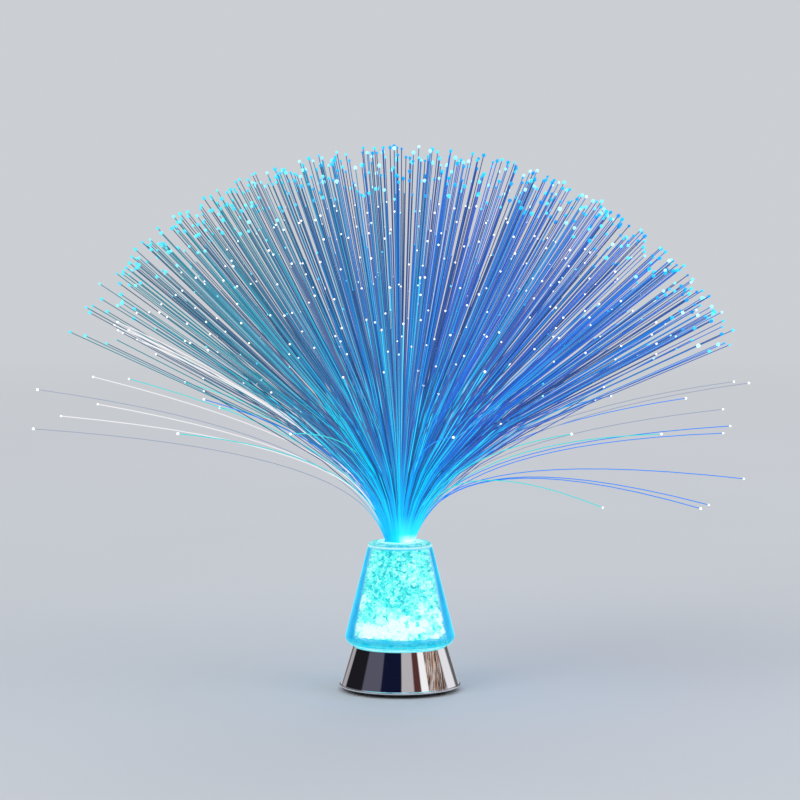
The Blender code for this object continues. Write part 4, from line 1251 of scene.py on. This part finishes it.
def make_camera():
    """The camera, in front of the lamp and looking slightly down."""
    lens = bpy.data.cameras.new("camera")
    lens.sensor_width = SENSOR_WIDTH
    lens.lens = FOCAL_PIXELS * SENSOR_WIDTH / IMAGE_SIDE
    camera = bpy.data.objects.new("camera", lens)
    camera.location = (0, -CAMERA_DISTANCE, CAMERA_HEIGHT)
    camera.rotation_euler = (math.pi / 2 - CAMERA_PITCH, 0, 0)
    bpy.context.scene.collection.objects.link(camera)
    bpy.context.scene.camera = camera


def stage_piece(name, shape, material):
    """Put a shape of the studio in the scene, in one finish."""
    made = placed(name, shape, material)
    return made


def make_floor():
    """A pale floor that fades into the pale surroundings, and is clear from below."""
    f = Finish("pale_floor")
    x, y = f.axes()[:2]
    distance = (x * x + y * y) ** 0.5
    behind = f.node("ShaderNodeNewGeometry", output=6)
    hidden = f.spread(distance, *FLOOR_FADE)
    cloudy = f.noise(3, 2)
    paint = f.mix(cloudy, (0.66, 0.68, 0.71), (0.70, 0.72, 0.75))
    matt = f.node("ShaderNodeBsdfDiffuse", None, {"Color": paint})
    clear = f.node("ShaderNodeBsdfTransparent")
    share = 1 - (1 - hidden) * (1 - behind)
    shape = bmesh.new()
    bmesh.ops.create_circle(shape, cap_ends=True, radius=FLOOR_R, segments=96)
    material = f.show(f.node("ShaderNodeMixShader", None, {0: share, 1: matt, 2: clear}))
    stage_piece("floor", shape, material)


def make_surround():
    """Studio flats round the lamp, seen only as reflections in the chrome."""
    f = Finish("studio_flats")
    x, y = f.axes()[:2]
    turn = x.math("ARCTAN2", x, 0 - y)
    around = turn / math.tau + 0.5
    stops = [(angle / 360 + 0.5, tint) for *angles, tint in STRIPES for angle in angles]
    colour = f.ramp(around, *stops)
    start, end = (angle / 360 + 0.5 for angle in FLECKED)
    busy = (around > start) * (around < end)
    streaks = f.node("ShaderNodeMapping", None, {"Vector": f.place(), "Scale": (3, 3, 75)})
    for scale, low, high, tint in (
        (1.7, 0.50, 0.56, (0.80, 0.76, 0.72)),
        (2.1, 0.54, 0.60, (0.46, 0.16, 0.06)),
        (1.4, 0.55, 0.60, (0.02, 0.018, 0.016)),
    ):
        flecks = f.spread(f.noise(scale, 1, streaks), low, high)
        colour = f.mix(busy * flecks, colour, tint)
    light = f.node("ShaderNodeEmission", None, {"Color": colour, "Strength": 1.0})
    shape = bmesh.new()
    ends = [shape.verts.new((FLATS_R, 0, z)) for z in FLATS_HEIGHTS]
    edge = shape.edges.new(ends)
    bmesh.ops.spin(
        shape, geom=[*ends, edge], cent=(0, 0, 0), axis=UP, angle=math.tau, steps=120,
        use_merge=True,
    )
    flats = stage_piece("studio_flats", shape, f.show(light))
    flats.visible_camera = False
    flats.visible_diffuse = False
    flats.visible_transmission = False
    flats.visible_shadow = False


def make_world():
    """Even pale light from all sides, which is also the background."""
    world = bpy.data.worlds.new("studio")
    bpy.context.scene.world = world
    world.use_nodes = True
    world.node_tree.nodes["Background"].inputs["Color"].default_value = (*PALE, 1)
    world.node_tree.nodes["Background"].inputs["Strength"].default_value = 1.0


def make_lights():
    """Three soft lights: high to the left and the right of the camera, and at the back."""
    for name, place, power, size in (
        ("key_light", (-1.4, -1.5, 1.9), 14, 1.4),
        ("fill_light", (1.6, -0.9, 1.5), 7, 1.4),
        ("back_light", (0.3, 1.8, 1.8), 7, 1.2),
    ):
        lamp = bpy.data.lights.new(name, "AREA")
        lamp.energy = power
        lamp.size = size
        light = bpy.data.objects.new(name, lamp)
        light.location = place
        aim = Vector((0, 0, 0.15)) - Vector(place)
        light.rotation_euler = aim.to_track_quat("-Z", "Y").to_euler()
        light.visible_glossy = False
        bpy.context.scene.collection.objects.link(light)


def main():
    black = moulded_plastic((0.022, 0.022, 0.025), 0.46)
    steel = plated_metal("zinc_steel", (0.62, 0.62, 0.64), 0.26)
    nickel = plated_metal("nickel_steel", (0.72, 0.69, 0.62), 0.24)
    acrylic = lit_acrylic("acrylic_lit", (0.80, 0.97, 1.0), (0.00, 0.55, 0.92), 0.15)
    frosted = lit_acrylic(
        "sleeve_frosted", (0.75, 0.93, 1.0), (0.05, 0.45, 0.70), 0.5, 0.3, 0.3
    )
    fused = lit_acrylic("bundle_lit", (0.60, 0.93, 1.0), (0.10, 0.75, 1.0), 0.9, 0.3, 0.1)
    crystal = lit_chip()
    dress(black, "base_tray", "battery_door", "switch_body", "switch_knob")
    dress(steel, "base_screw_1", "base_screw_2", "base_screw_3")
    dress(steel, "board_screw_1", "board_screw_2")
    dress(nickel, "positive_contact", "negative_contact")
    dress(nickel, "contact_bridge_1", "contact_bridge_2")
    dress(board_laminate(), "light_board")
    dress(lit_lens(), "light_1", "light_2", "light_3")
    dress(wire_skin("red_skin", (0.55, 0.02, 0.02)), "red_lead")
    dress(wire_skin("black_skin", (0.02, 0.02, 0.022)), "black_lead")
    make_shell(mirror_chrome())
    make_cone(cone_acrylic_painted_glow())
    make_collar(collar_glow())
    make_guide_tube(acrylic)
    make_cone_floor(acrylic)
    make_chips(crystal)
    make_chip_core(crystal)
    make_cells(cell_sleeve())
    make_pads(soft_rubber())
    make_sleeve(frosted)
    make_bundle(fused)
    make_strands(lit_strand())
    make_camera()
    make_floor()
    make_surround()
    make_world()
    make_lights()
    bpy.context.scene.view_settings.view_transform = "Standard"


main()
